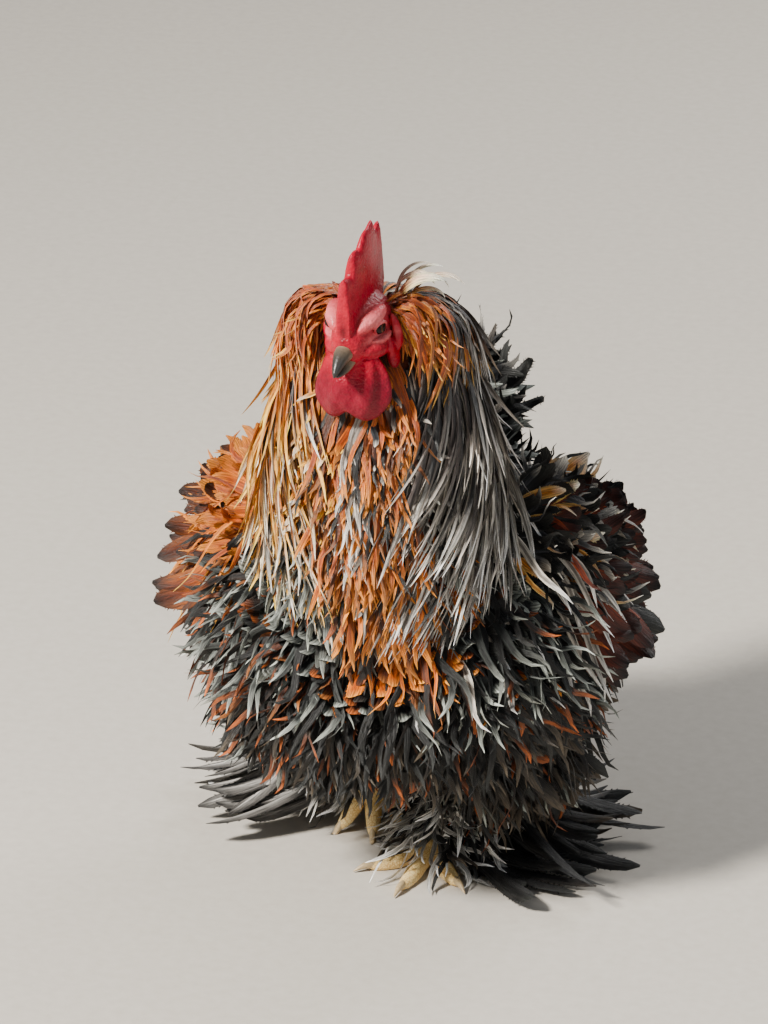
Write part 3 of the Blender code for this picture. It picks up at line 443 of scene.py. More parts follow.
def wattle(side):
    """A hanging lobe, wide and flat, with folds that run down it and fade at both ends."""
    start = (side * 0.0066, BEAK_ROOT + 0.009, -0.0070)
    end = (side * 0.0092, BEAK_ROOT + 0.0045, -0.0385)
    widths = (0.0030, 0.0046, 0.0056, 0.0054, 0.0038)
    depths = 0.0116 * np.array([0.50, 0.84, 1.0, 0.98, 0.70])
    return head_form(line(start, end, (0, 0.25, 0.5, 0.75, 1), widths, depths), 0.08, 0.34, side * 1.05,
                     lambda u, angle: 0.0013 * np.sin(5 * angle + 3 * u) * np.sin(np.pi * u))


def lid(side, around=48, tube=10):
    """A ring of lid about the eye: a tube that is thick above, where it hoods the eye, and thin below."""
    a, b = np.meshgrid(2 * np.pi * np.arange(around) / around, 2 * np.pi * np.arange(tube) / tube,
                       indexing="ij")
    thick = 0.00062 + 0.00050 * np.clip(np.sin(a), 0, 1)
    reach = EYE_RADIUS * 0.98 + thick * np.cos(b)
    out = 0.0016 + thick * 1.2 * np.sin(b) + 0.0006 * np.sin(a)
    ahead, facing = reach * np.cos(a), math.radians(22)
    points = np.stack([side * (EYE_AT[0] + out * math.cos(facing) + ahead * math.sin(facing)),
                       EYE_AT[1] + ahead * math.cos(facing) - out * math.sin(facing),
                       EYE_AT[2] + 0.78 * reach * np.sin(a)], axis=-1)
    return points.reshape(-1, 3), grid(around + 1, tube, True) % (around * tube), np.empty((0, 3), int)


shares = np.array([0, 0.22, 0.48, 0.74, 1])
skull = head_form(np.column_stack([
    np.zeros(5), BEAK_ROOT + 0.0425 * shares, (-0.004, -0.0005, 0.0025, 0.003, 0),
    0.0142 * np.array([0.46, 0.68, 0.92, 0.98, 0.72]),
    0.0145 * np.array([0.52, 0.80, 1, 1.02, 0.78])]), 0.12, 0.34)
sizes = (0.008, 0.009, 0.010)
throat = head_form(line((0, -0.004, -0.008), (0, 0.012, -0.030), (0, 0.5, 1), sizes, sizes), 0.3, 0.3)
chin = head_form(line((0, BEAK_ROOT + 0.006, -0.0085), (0, BEAK_ROOT + 0.0075, -0.027), (0, 0.4, 0.75, 1),
                      (0.0040, 0.0058, 0.0052, 0.002), (0.0034, 0.0030, 0.0026, 0.0018)), 0.2, 0.4)
# Brow, cheek, pouch under the eye, ear, ear fold and lobe on the bird's left: each as start, end, shares of
# the way, half widths, half depths and sag.
FOLDS = (
    ((0.0056, -0.0145, 0.0066), (0.0118, 0.0060, 0.0132), (0, 0.35, 0.7, 1),
     (0.0024, 0.0040, 0.0038, 0.0018), (0.0026, 0.0042, 0.0036, 0.0014), (0.0010, 0, 0.0014)),
    ((0.0060, -0.0150, -0.0030), (0.0142, 0.0035, -0.0050), (0, 0.35, 0.7, 1),
     (0.0018, 0.0034, 0.0038, 0.0020), (0.0022, 0.0036, 0.0044, 0.0024), (0.0004, 0, -0.0006)),
    ((0.0106, -0.0085, 0.0004), (0.0152, 0.0040, 0.0020), (0, 0.4, 0.75, 1),
     (0.0010, 0.0018, 0.0018, 0.0010), (0.0010, 0.0016, 0.0016, 0.0010), (0.0008, 0, -0.0012)),
    ((0.0148, 0.0062, 0.0096), (0.0176, 0.0066, -0.0100), (0, 0.35, 0.7, 1),
     (0.0012, 0.0022, 0.0024, 0.0012), (0.0014, 0.0022, 0.0026, 0.0014), (0.0012, 0.0006, 0)),
    ((0.0140, 0.0020, 0.0000), (0.0156, 0.0022, -0.0120), (0, 0.5, 1),
     (0.0010, 0.0018, 0.0010), (0.0014, 0.0022, 0.0014), (0.0010, 0, 0)),
    ((0.0142, 0.0062, -0.002), (0.0166, 0.0052, -0.0185), (0, 0.5, 1),
     (0.0020, 0.0028, 0.0022), (0.0038, 0.0054, 0.0038), (0, 0, 0)),
)
flesh = [shell(skull, 46, 44), shell(throat, 20, 24), shell(chin, 26, 26), comb_blade()]
for side in SIDES.values():
    mirror = (side, 1, 1)
    for start, end, shares, widths, depths, sag in FOLDS:
        rows = line(np.multiply(start, mirror), np.multiply(end, mirror), shares, widths, depths,
                    np.multiply(sag, mirror))
        flesh.append(shell(head_form(rows, 0.3, 0.3), 24, 20))
    flesh += [shell(wattle(side), 60, 56), lid(side)]
points, quads, triangles = joined(flesh)
head_skin = fused(mesh_object("head_skin", on_neck(points), quads, triangles), FACE_VOXEL, FACE_ROUNDS)


def wrinkled(obj, points):
    """Moves points along their normals by warped sines: folds 4 mm apart, wrinkles 2 mm, pimples 1 mm."""
    normals = np.empty(len(points) * 3, np.float32)
    obj.data.vertices.foreach_get("normal", normals)
    x, y, z = points.T
    warp = 1.4 * np.sin(480 * z + 260 * y) + 0.9 * np.sin(610 * x - 330 * z)
    folds = 0.00022 * np.sin(1450 * y + 520 * z + warp) * np.sin(900 * z - 700 * y + 2 * warp)
    wrinkles = 0.00013 * np.sin(2900 * z - 900 * x + 1.7 * warp) * np.sin(2600 * y + warp)
    pimples = 0.00010 * np.sin(5600 * x + warp) * np.sin(5200 * y - warp) * np.sin(5400 * z)
    eye = np.linalg.norm(np.abs(points) * (1, 0, 0) + points * (0, 1, 1) - EYE_AT, axis=1)
    calm = ramp(eye, 0.0050, 0.005) * np.clip((z + 0.024) / 0.014, 0.2, 0.7)
    calm = calm * np.where(z > 0.018, 0.25, 0.45)
    moved = points_of(obj) + normals.reshape(-1, 3) * ((folds + wrinkles + pimples) * calm)[:, None]
    obj.data.vertices.foreach_set("co", moved.astype(np.float32).ravel())
    obj.data.update()


def evened(obj, weight, rounds):
    """Moves each point by its weight towards the mean of its neighbours, round after round."""
    pairs = np.empty(len(obj.data.edges) * 2, np.int32)
    obj.data.edges.foreach_get("vertices", pairs)
    a, b = np.concatenate([pairs[::2], pairs[1::2]]), np.concatenate([pairs[1::2], pairs[::2]])
    count = np.bincount(a, minlength=len(weight))
    place = points_of(obj)
    for _ in range(rounds):
        total = np.column_stack([np.bincount(a, place[b, k], len(weight)) for k in range(3)])
        place = place + (total / count[:, None] - place) * weight[:, None]
    obj.data.vertices.foreach_set("co", place.astype(np.float32).ravel())
    obj.data.update()


COMB_AND_WATTLE_ROUNDS = 24
own = in_head(points_of(head_skin))
evened(head_skin, ramp(own[:, 2], 0.017, 0.006) + ramp(-own[:, 2], 0.013, 0.006), COMB_AND_WATTLE_ROUNDS)
wrinkled(head_skin, own)
x, y, z = own.T
crimson, rose, highlight_and_mottle_pink, deep, comb_red = (
    linear(code) for code in ("7C0020", "AC0026", "FF8A8C", "380008", "AC0028"))
on_comb = ramp(z, 0.012, 0.012)[:, None]
on_wattle = ramp(-z, 0.010, 0.010)[:, None]
# Painted highlight: pale pink over the brow ridges and under the eyes. The same pink also gives a faint
# random mottle.
brow_ridge_highlight = np.exp(-((z - 0.0118) / 0.0046) ** 2 - ((y + 0.0060) / 0.0105) ** 2)
under_eye_highlight = np.exp(-((z - 0.0012) / 0.0022) ** 2 - ((y + 0.0030) / 0.0080) ** 2)
brow_highlight = ((brow_ridge_highlight + 0.8 * under_eye_highlight) * ramp(np.abs(x), 0.0035, 0.003))[:, None]
# Painted shade: the dark red deep down the middle groove at the front of the face, between the brows.
groove_shade = np.exp(-(x / 0.0022) ** 2 - ((z - 0.008) / 0.006) ** 2)[:, None]
colours = rose + (crimson - rose) * on_wattle + (highlight_and_mottle_pink - rose) * np.clip(0.80 * brow_highlight, 0, 1)
colours = colours + (comb_red - colours) * on_comb * 0.8
colours = colours + (deep - colours) * np.clip(0.75 * groove_shade * (y[:, None] < 0), 0, 1)
mottle = 0.5 + 0.5 * np.sin(900 * x + 3 * np.sin(700 * y)) * np.sin(820 * z)
colours = colours + (highlight_and_mottle_pink - colours) * (0.02 * mottle[:, None])
paint(head_skin, colours)

# Bare comb and wattle skin: wet-looking, light bleeds through it red, and papillae 1 mm apart catch the
# light between creases 4 mm apart.
comb_look, tree = material("bare_comb_skin")
place = node(tree, "TexCoord").outputs["Object"]
marks = node(tree, "Attribute", attribute_name="marking")
papillae = node(tree, "TexVoronoi", {"Vector": place, "Scale": 950.0}, feature="SMOOTH_F1")
creases = node(tree, "TexNoise", {"Vector": place, "Scale": 260.0, "Detail": 5.0, "Roughness": 0.6})
height = node(tree, "Math", {0: papillae, 1: creases}, operation="SUBTRACT")
bumped = node(tree, "Bump", {"Height": height, "Distance": 0.0006, "Strength": 0.55})
tone = node(tree, "MapRange", {
    "Value": creases, "From Min": 0.3, "From Max": 0.7, "To Min": 0.72, "To Max": 1.12})
mixed = node(tree, "VectorMath", {0: marks, "Scale": tone}, operation="SCALE")
shader = node(tree, "BsdfPrincipled", {
    "Base Color": mixed, "Roughness": 0.40, "IOR": 1.42, "Specular IOR Level": 0.25,
    "Subsurface Weight": 0.12, "Subsurface Radius": (1.0, 0.25, 0.18), "Subsurface Scale": 0.0012,
    "Coat Weight": 0.10, "Coat Roughness": 0.22, "Normal": bumped})
node(tree, "OutputMaterial", {"Surface": shader})
head_skin.data.materials.append(comb_look)
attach(head_skin, "root")
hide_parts("head", "comb", "wattle_left", "wattle_right", "earlobe_left", "earlobe_right")

# The eyes
# Wet globes set in the ring of lid, with a dark brown iris about a round black pupil.

GLOBE_RINGS, GLOBE_SIDES = 26, 36

# Living eye: a clear wet cornea over the iris, so it mirrors small bright lights. The pupil is 3.7 mm
# across.
iris_look, tree = material("wet_eye")
place = node(tree, "TexCoord").outputs["Object"]
middles = [on_neck((EYE_AT + (EYE_RADIUS, 0, 0)) * (side, 1, 1)) for side in SIDES.values()]
reach = [node(tree, "VectorMath", {0: place, 1: middle}, operation="DISTANCE") for middle in middles]
nearest = node(tree, "Math", {k: gap.outputs["Value"] for k, gap in enumerate(reach)}, operation="MINIMUM")
share = node(tree, "MapRange", {"Value": nearest, "From Max": 0.0040})
ring = node(tree, "ValToRGB", {"Fac": share})
stops = ((0.0, "030202"), (0.46, "030202"), (0.50, "2E1206"), (0.64, "5A280C"), (0.76, "240C06"),
         (0.84, "0C0504"))
while len(ring.color_ramp.elements) < len(stops):
    ring.color_ramp.elements.new(0.5)
for element, (where, code) in zip(ring.color_ramp.elements, stops):
    element.position = where
    element.color = (*linear(code), 1)
shader = node(tree, "BsdfPrincipled", {
    "Base Color": ring, "Roughness": 0.12, "IOR": 1.38, "Specular IOR Level": 0.3})
node(tree, "OutputMaterial", {"Surface": shader})
for name, side in SIDES.items():
    v = np.linspace(0, np.pi, GLOBE_RINGS)[:, None]
    w = 2 * np.pi * np.arange(GLOBE_SIDES) / GLOBE_SIDES
    pole = np.broadcast_to(np.cos(v), (GLOBE_RINGS, GLOBE_SIDES))
    globe = np.stack([pole, np.sin(v) * np.cos(w), np.sin(v) * np.sin(w)], axis=-1).reshape(-1, 3)
    globe = on_neck(EYE_AT * (side, 1, 1) + globe * EYE_RADIUS * 0.985)
    eye = mesh_object("eyeball_" + name, globe, grid(GLOBE_RINGS, GLOBE_SIDES, True)[:, ::-1])
    eye.data.materials.append(iris_look)
    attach(eye, "root")
    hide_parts("eye_" + name)

# The beak
# Horn in two halves, short, stout and hooked, dark grey-brown and paler where it grows out of the face.

BEAK_LENGTH = 0.0135
dark_horn, pale_horn, claw_horn = (linear(code) for code in ("2A2826", "8E7A62", "B9A27C"))


def horn_lines(u, angle):
    """Faint sine rings round the horn, and a slit pressed up to 0.9 mm into both sides near the root."""
    sides = np.exp(-((np.abs(np.cos(angle)) - 0.92) / 0.10) ** 2)
    sides = sides * np.exp(-((np.sin(angle) - 0.25) / 0.22) ** 2)
    return 0.00006 * np.sin(70 * u) - 0.0009 * sides * np.exp(-((u - 0.80) / 0.055) ** 2)


upper = head_form(line((0, BEAK_ROOT - BEAK_LENGTH, -0.0092), (0, BEAK_ROOT + 0.005, -0.0022),
                       (0, 0.3, 0.62, 1), (0.0009, 0.0027, 0.0041, 0.0050),
                       (0.0011, 0.0030, 0.0042, 0.0048), (0, 0, 0.0024)), 0.2, 0.05, 0.0, horn_lines)
lower = head_form(line((0, BEAK_ROOT - 0.74 * BEAK_LENGTH, -0.0104), (0, BEAK_ROOT + 0.005, -0.0074),
                       (0, 0.3, 0.62, 1), (0.0009, 0.0025, 0.0038, 0.0046),
                       (0.0008, 0.0017, 0.0024, 0.0029), (0, 0, -0.0007)), 0.2, 0.05)

# Horn: dense keratin with a satin polish, streaked every 1.1 mm, and darker at the worn tip.
horn_look, tree = material("keratin_horn")
place = node(tree, "TexCoord").outputs["Object"]
marks = node(tree, "Attribute", attribute_name="marking")
streak = node(tree, "TexNoise", {"Vector": place, "Scale": 900.0, "Detail": 4.0, "Distortion": 0.6})
tone = node(tree, "MapRange", {"Value": streak, "To Min": 0.6, "To Max": 1.35})
mixed = node(tree, "VectorMath", {0: marks, "Scale": tone}, operation="SCALE")
bumped = node(tree, "Bump", {"Height": streak, "Distance": 0.00012, "Strength": 0.6})
shader = node(tree, "BsdfPrincipled", {
    "Base Color": mixed, "Roughness": 0.36, "IOR": 1.54, "Normal": bumped})
node(tree, "OutputMaterial", {"Surface": shader})
for name, form in (("upper", upper), ("lower", lower)):
    points, quads, triangles = shell(form, 44, 36)
    half = mesh_object(name + "_beak", on_neck(points), quads, triangles)
    share = ramp(points[:, 1:2], BEAK_ROOT - BEAK_LENGTH, BEAK_LENGTH)
    paint(half, dark_horn + (pale_horn - dark_horn) * share**3)
    half.data.materials.append(horn_look)
    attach(half, "root")
    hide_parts("beak_" + name)

# The feet
# Four toes on each foot, round at the joints, with a row of broad scutes over each and a hooked claw.
# Skin and scutes grow as one. The claws are separate horn caps.

# Where each toe ends, from the ball of its foot: middle, inner, outer and hind.
TOES = {
    "left": ((-0.007, -0.039, -0.006), (-0.028, -0.018, -0.006),
             (0.020, -0.028, -0.006), (0.009, 0.020, -0.006)),
    "right": ((0.003, -0.018, -0.030), (0.019, -0.007, -0.030),
              (-0.016, -0.012, -0.030), (0.004, 0.019, -0.018)),
}
TOE_RADIUS, FOOT_VOXEL, FOOT_ROUNDS, OVER_FLOOR = 0.0046, 0.0005, 2, 0.0002


def scutes(u, angle):
    """Eleven plates over the top of a toe, each the root of a sine, faded to the sides, and pads below."""
    ridge = np.abs(np.sin(np.pi * 11 * u)) ** 0.5
    top = np.clip(0.35 + np.sin(angle), 0, 1)
    pads = 0.00045 * np.sin(np.pi * 4.5 * u) * np.clip(-np.sin(angle), 0, 1)
    return 0.00042 * (ridge - 0.7) * top + pads


# Scaly foot skin: dry and yellowish cream, each scale 1.6 mm wide with a darker line of skin about it.
scale_look, tree = material("foot_scute_skin")
place = node(tree, "TexCoord").outputs["Object"]
cells = node(tree, "TexVoronoi", {"Vector": place, "Scale": 620.0}, feature="DISTANCE_TO_EDGE")
dust = node(tree, "TexNoise", {"Vector": place, "Scale": 190.0, "Detail": 5.0})
edge = node(tree, "MapRange", {"Value": cells, "From Max": 0.08})
skin_tone = node(tree, "MixRGB", {
    "Fac": dust, "Color1": (*linear("F2C466"), 1), "Color2": (*linear("FFEDB8"), 1)})
mixed = node(tree, "MixRGB", {"Fac": edge, "Color1": (*linear("D29C4C"), 1), "Color2": skin_tone})
bumped = node(tree, "Bump", {"Height": edge, "Distance": 0.00025, "Strength": 0.7})
shader = node(tree, "BsdfPrincipled", {
    "Base Color": mixed, "Roughness": 0.52, "IOR": 1.48, "Normal": bumped})
node(tree, "OutputMaterial", {"Surface": shader})
for name in SIDES:
    ball = np.array(BALLS[name])
    middle = line(ball + (0, 0, 0.006), ball - (0, 0, 0.007), (0, 0.5, 1), (0.0060, 0.0078, 0.0066),
                  (0.0060, 0.0076, 0.0064))
    flesh, claws = [shell(body_form(middle, 0.3, 0.3), 20, 24)], []
    for way in np.array(TOES[name]):
        tip = ball + way
        radius = TOE_RADIUS * (0.9 if np.linalg.norm(way) < 0.03 else 1.0)
        sizes = radius * np.array([1.05, 1.0, 0.90, 0.92, 0.78, 0.62])
        toe = line(ball, tip, (0, 0.2, 0.4, 0.58, 0.8, 1), sizes, sizes, (0, 0, -0.0020))
        flesh.append(shell(body_form(toe, 0.12, 0.25, 0.0, scutes), 90, 32))
        level = unit(way * (1, 1, 0.0 if name == "left" else 1))
        hook = line(tip - level * 0.006, tip + level * 0.0085 + (0, 0, -0.0016), (0, 0.5, 1),
                    (0.0020, 0.0017, 0.0003), (0.0022, 0.0019, 0.0003), (0, 0, 0.0016))
        claws.append(shell(body_form(hook, 0.1, 0.1), 18, 14))
    for piece, shells, look in (("foot_skin_", flesh, scale_look), ("claws_", claws, horn_look)):
        points, quads, triangles = joined(shells)
        points[:, 2] = np.maximum(points[:, 2], OVER_FLOOR)
        obj = mesh_object(piece + name, points, quads, triangles)
        if piece == "foot_skin_":
            fused(obj, FOOT_VOXEL, FOOT_ROUNDS)
            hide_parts("foot_" + name)
        else:
            paint(obj, np.broadcast_to(claw_horn, points.shape))
        obj.data.materials.append(look)
        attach(obj, "root")

# The down
# Short soft vanes that stand all over the body under the coat, so that the coat looks deep and no skin
# shows. Each is a thin curved sheet with loose barbs along its edges.

# Outlines of a vane: half its width at each share of its length.
POINTED = ((0, 0.30), (0.12, 0.62), (0.35, 0.95), (0.55, 1.0), (0.78, 0.72), (0.92, 0.34), (1, 0.04))
BROAD = ((0, 0.22), (0.10, 0.50), (0.32, 0.86), (0.60, 1.0), (0.80, 0.95), (0.93, 0.66), (1, 0.12))
FLIGHT = ((0, 0.12), (0.10, 0.20), (0.28, 0.62), (0.55, 0.95), (0.78, 1.0), (0.92, 0.76), (1, 0.14))
LOCK = ((0, 0.40), (0.10, 0.80), (0.40, 1.0), (0.72, 0.82), (0.90, 0.46), (1, 0.05))
# Steps of the golden lattice in two dimensions, which spreads points evenly.
LATTICE = (0.7548776662466927, 0.5698402909980532)
INSIDE_BOX, MOST_SHORTENINGS, SHORTER = 0.001, 9, 0.85


def scatter(form, count, u_range, angle_range, seed):
    """Roots spread evenly: a golden lattice of u and angle, thinned where the surface has less area."""
    chance = np.random.default_rng(seed)
    k = np.arange(count * 6)
    u = u_range[0] + (u_range[1] - u_range[0]) * ((0.5 + k * LATTICE[0]) % 1)
    angle = angle_range[0] + (angle_range[1] - angle_range[0]) * ((0.5 + k * LATTICE[1]) % 1)
    ahead, behind = np.minimum(u + 0.006, 0.998), np.maximum(u - 0.006, 0.002)
    along = surface(form, ahead, angle) - surface(form, behind, angle)
    around = surface(form, u, angle + 0.02) - surface(form, u, angle - 0.02)
    out = np.cross(along, around)
    area = np.linalg.norm(out, axis=1)
    at = surface(form, u, angle)
    out = unit(out) * np.sign(np.sum(out * (at - axes(form, u)[0]), axis=1))[:, None]
    keep = np.flatnonzero(chance.random(len(k)) * area.max() < area)[:count]
    return {"u": u[keep], "angle": angle[keep], "at": at[keep], "out": out[keep]}


def buried(roots, form, deep=0.003):
    """Whether each root lies inside a form: within a slab of some section and inside its ellipse."""
    centre, along, side, up = axes(form, np.linspace(0.01, 0.99, 70))
    size = np.maximum(smooth(form["rows"], np.linspace(0.01, 0.99, 70))[:, 3:5] - deep, 0.0005)
    apart = roots["at"][:, None] - centre[None]
    a, b, t = (np.sum(apart * way, axis=2) for way in (side, up, along))
    gap = 0.62 * np.linalg.norm(np.diff(centre, axis=0), axis=1).max()
    return ((np.abs(t) < gap) & ((a / size[:, 0]) ** 2 + (b / size[:, 1]) ** 2 < 1)).any(axis=1)


def chosen(roots, keep):
    """The roots for which keep is true."""
    return {name: values[keep] for name, values in roots.items()}


def in_face(points):
    """Whether points come into the bare face, comb or wattles, so that no feather crosses them."""
    own = in_head(points)
    x, y, z = np.abs(own[..., 0]), own[..., 1], own[..., 2]
    skull_part = (x / 0.0155) ** 2 + ((y + 0.009) / 0.018) ** 2 + ((z - 0.001) / 0.0165) ** 2 < 1
    front = (x < 0.0205) & (y < -0.004) & (z < 0.004) & (z > -0.042)
    beak_part = (x < 0.016) & (y < -0.012) & (z > -0.020) & (z < 0.020)
    ear_part = (x < 0.0215) & (y < 0.0095) & (z > -0.021) & (z < 0.013)
    blade = (x < 0.0060) & (z > 0.006) & (z < 0.055) & (y < 0.030)
    return skull_part | front | beak_part | ear_part | blade


def frayed(batch, chance, fray, points, side, up, way, maps):
    """Loose barbs along both edges of each vane: triangles that stand out by a random share of `fray` and
    lean on towards the tip. They take the colour and the maps of the edge they grow from."""
    n, rings, across = points.shape[:3]
    k = np.arange(2, rings - 2)
    for sign, column in ((1, across - 1), (-1, 0)):
        edge_here, edge_next = points[:, k, column], points[:, k + 1, column]
        tuck = side[:, k] * sign * 0.0004
        for part in (0.15, 0.62):
            low_end = edge_here + (edge_next - edge_here) * part - tuck
            high_end = edge_here + (edge_next - edge_here) * (part + 0.30) - tuck
            reach = fray * chance.uniform(0.35, 1.15, (n, len(k), 1))
            lift = reach * chance.uniform(-0.45, 0.45, (n, len(k), 1))
            barb = low_end + side[:, k] * sign * reach * 0.8 + way[:, k] * reach * 1.4 + up[:, k] * lift
            barb[..., 2] = np.maximum(barb[..., 2], 0.0008)
            numbers = len(batch["points"]) + 3 * np.arange(n * len(k)).reshape(-1, 1)
            order = np.array((0, 1, 2) if sign > 0 else (0, 2, 1))
            batch["triangles"] = np.vstack([batch["triangles"], numbers + order])
            three = np.stack([low_end, barb, high_end], axis=2)
            batch["points"] = np.vstack([batch["points"], three.reshape(-1, 3)])
            for key, values in maps.items():
                width = values.shape[-1]
                own_edge = np.repeat(values[:, k, column].reshape(-1, 1, width), 3, axis=1)
                batch[key] = np.vstack([batch[key], own_edge.reshape(-1, width)])
    return batch


def vanes(roots, tract, flow, length, width, rise, curl, seed, *, sway=0.35, twist=0.5, turn_by=0.25,
          rings=11, across=3, shape=BROAD, cup=0.35, fray=0.0, ragged=0.03, sink=0.003, spread=0.15,
          tip_from=0.72, kinds=None, shade=0.12, rest=0.0012, power=1.5, locks=0.25, edging=1.4, waver=0.0,
          droop=0.0, ways=None):
    """Feathers as arrays: each a line that leaves the skin at `rise` and turns on by `curl` times its share
    to some power, with a sheet across it that cups by a square curve, twists and narrows to its tip. Slow
    sine waves over the body turn neighbours the same way, so that they gather in locks. `waver` adds a sine
    wave along the line, `droop` a downward pull, and `ways` gives the line's directions instead. A feather
    that would leave the part's box or cross the face is shortened, and left out if that isn't enough."""
    chance = np.random.default_rng(seed)
    at, out = roots["at"], roots["out"]
    n = len(at)
    lie = np.broadcast_to(np.asarray(flow, float), (n, 3))
    lie = unit(lie - out * np.sum(lie * out, axis=1, keepdims=True))
    x, y, z = at.T
    drift = 0.6 * np.sin(250 * x + 180 * z + 3 * np.sin(120 * y))
    drift = drift + 0.4 * np.sin(330 * y - 290 * z + 2 * np.sin(210 * x))
    swell = np.sin(310 * z - 240 * x + 2 * np.sin(160 * y + 1))
    swing = chance.uniform(-turn_by, turn_by, (n, 1)) + locks * drift[:, None]
    lie = lie * np.cos(swing) + np.cross(out, lie) * np.sin(swing)
    beside = np.cross(lie, out)
    s = np.linspace(0, 1, rings)
    size = chance.uniform(1 - spread, 1 + spread, n)
    length, width = length * size, width * size * chance.uniform(0.85, 1.15, n)
    leave = np.radians(rise + chance.uniform(-5, 5, n) + 16 * locks * swell)[:, None]
    bend = leave + np.radians(curl * chance.uniform(0.7, 1.3, n))[:, None] * s**power
    phase = chance.uniform(0, 2 * np.pi, (n, 1))
    bend += waver * np.sin(8 * s + phase) * s
    lean = (chance.uniform(-sway, sway, n) + 1.4 * locks * drift)[:, None] * s
    lean = lean + waver * np.sin(7 * s + 2 * phase) * s
    if ways is None:
        ways = lie[:, None] * np.cos(bend)[..., None] + out[:, None] * np.sin(bend)[..., None]
    way = unit(ways + beside[:, None] * lean[..., None] - np.array([0, 0, droop]) * s[:, None])
    side = unit(beside[:, None] - way * np.sum(beside[:, None] * way, axis=2, keepdims=True))
    up = np.cross(side, way)
    roll = (chance.uniform(-twist, twist, n)[:, None] * s)[..., None]
    side, up = side * np.cos(roll) + up * np.sin(roll), up * np.cos(roll) - side * np.sin(roll)
    steps = np.concatenate([np.zeros((n, 1, 3)), np.cumsum(way[:, :-1], axis=1)], axis=1) / (rings - 1)
    outline = np.interp(s, *zip(*shape))
    profile = outline[None] * (1 + ragged * chance.uniform(-1, 1, (n, rings)))
    j = np.linspace(-1, 1, across)
    floor = rest * (0.5 + chance.random(n))[:, None, None]
    low, high = cad_low + INSIDE_BOX, cad_high - INSIDE_BOX
    for _ in range(MOST_SHORTENINGS):
        path = (at - out * sink)[:, None] + steps * length[:, None, None]
        half = (width[:, None] / 2 * profile)[:, :, None, None]
        points = path[:, :, None] + side[:, :, None] * half * j[:, None]
        points = points - up[:, :, None] * half * cup * (j**2)[:, None]
        over = ((points[..., :2] < low[:2]) | (points[..., :2] > high[:2])).any(axis=(1, 2, 3))
        over |= (points[..., 2] > high[2]).any(axis=(1, 2)) | in_face(points[:, 2:]).any(axis=(1, 2))
        if not over.any():
            break
        length = np.where(over, length * SHORTER, length)
    keep = ~over
    points[..., 2] = np.maximum(points[..., 2], floor)
    points, path, side, up, way, length, width = (
        values[keep] for values in (points, path, side, up, way, length, width))
    n = len(points)
    if kinds is None:
        kinds = marking(path[:, int(0.65 * rings)], tract, chance)
    else:
        kinds = np.full(n, KINDS.index(kinds))
    tint = TINTS[kinds] * chance.uniform(1 - 2 * shade, 1 + 2 * shade, (n, 1, 1))
    middle, edge, tip = (tint[:, part][:, None, None] for part in range(3))
    mix_edge = (np.abs(j) ** edging)[None, None, :, None]
    mix_tip = np.clip((s - tip_from) / (1 - tip_from), 0, 1)[None, :, None, None]
    colour = middle * (1 - mix_edge) + edge * mix_edge
    colour = colour * (1 - mix_tip) + tip * mix_tip
    colour = colour * (0.45 + 0.55 * np.clip(s / 0.35, 0, 1))[None, :, None, None]
    # Places on the vane in millimetres, off the shaft and along it, for the pattern of barbs.
    millimetres = np.stack(np.broadcast_arrays(
        j * 500 * width[:, None, None] * outline[:, None],
        s[:, None] * 1000 * length[:, None, None]), axis=-1)
    # Where the vane's root sits on the body, and a small patch about it, for the baked picture.
    patch = np.stack(np.broadcast_arrays((j + 1) / 2, s[:, None]), axis=-1) * 0.003
    root_uv = np.column_stack([(roots["angle"] / (2 * np.pi)) % 1, roots["u"]])[keep] * 0.98 + 0.01
    maps = {"colour": colour, "vane": millimetres, "bake": root_uv[:, None, None] + patch[None]}
    base = np.arange(n)[:, None, None] * rings * across
    batch = {key: values.reshape(-1, values.shape[-1]) for key, values in maps.items()}
    batch.update(points=points.reshape(-1, 3), quads=(base + grid(rings, across)[None]).reshape(-1, 4),
                 triangles=np.empty((0, 3), int))
    return frayed(batch, chance, fray, points, side, up, way, maps) if fray else batch


def coat_piece(name, batches, look):
    """One object out of several batches of feathers, with their colours and their two maps."""
    starts = np.cumsum([0] + [len(b["points"]) for b in batches[:-1]])
    points, colour, vane, bake = (
        np.vstack([b[key] for b in batches]) for key in ("points", "colour", "vane", "bake"))
    quads, triangles = (
        np.vstack([b[key] + k for b, k in zip(batches, starts)]) for key in ("quads", "triangles"))
    obj = mesh_object(name, np.clip(points, cad_low + 0.0002, cad_high - 0.0002), quads, triangles)
    paint(obj, colour)
    corners = np.concatenate([quads.ravel(), triangles.ravel()])
    for key, values in (("vane", vane), ("OFBake", bake)):
        obj.data.uv_layers.new(name=key).data.foreach_set("uv", values[corners].astype(np.float32).ravel())
    obj.data.materials.append(look)
    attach(obj, "root")


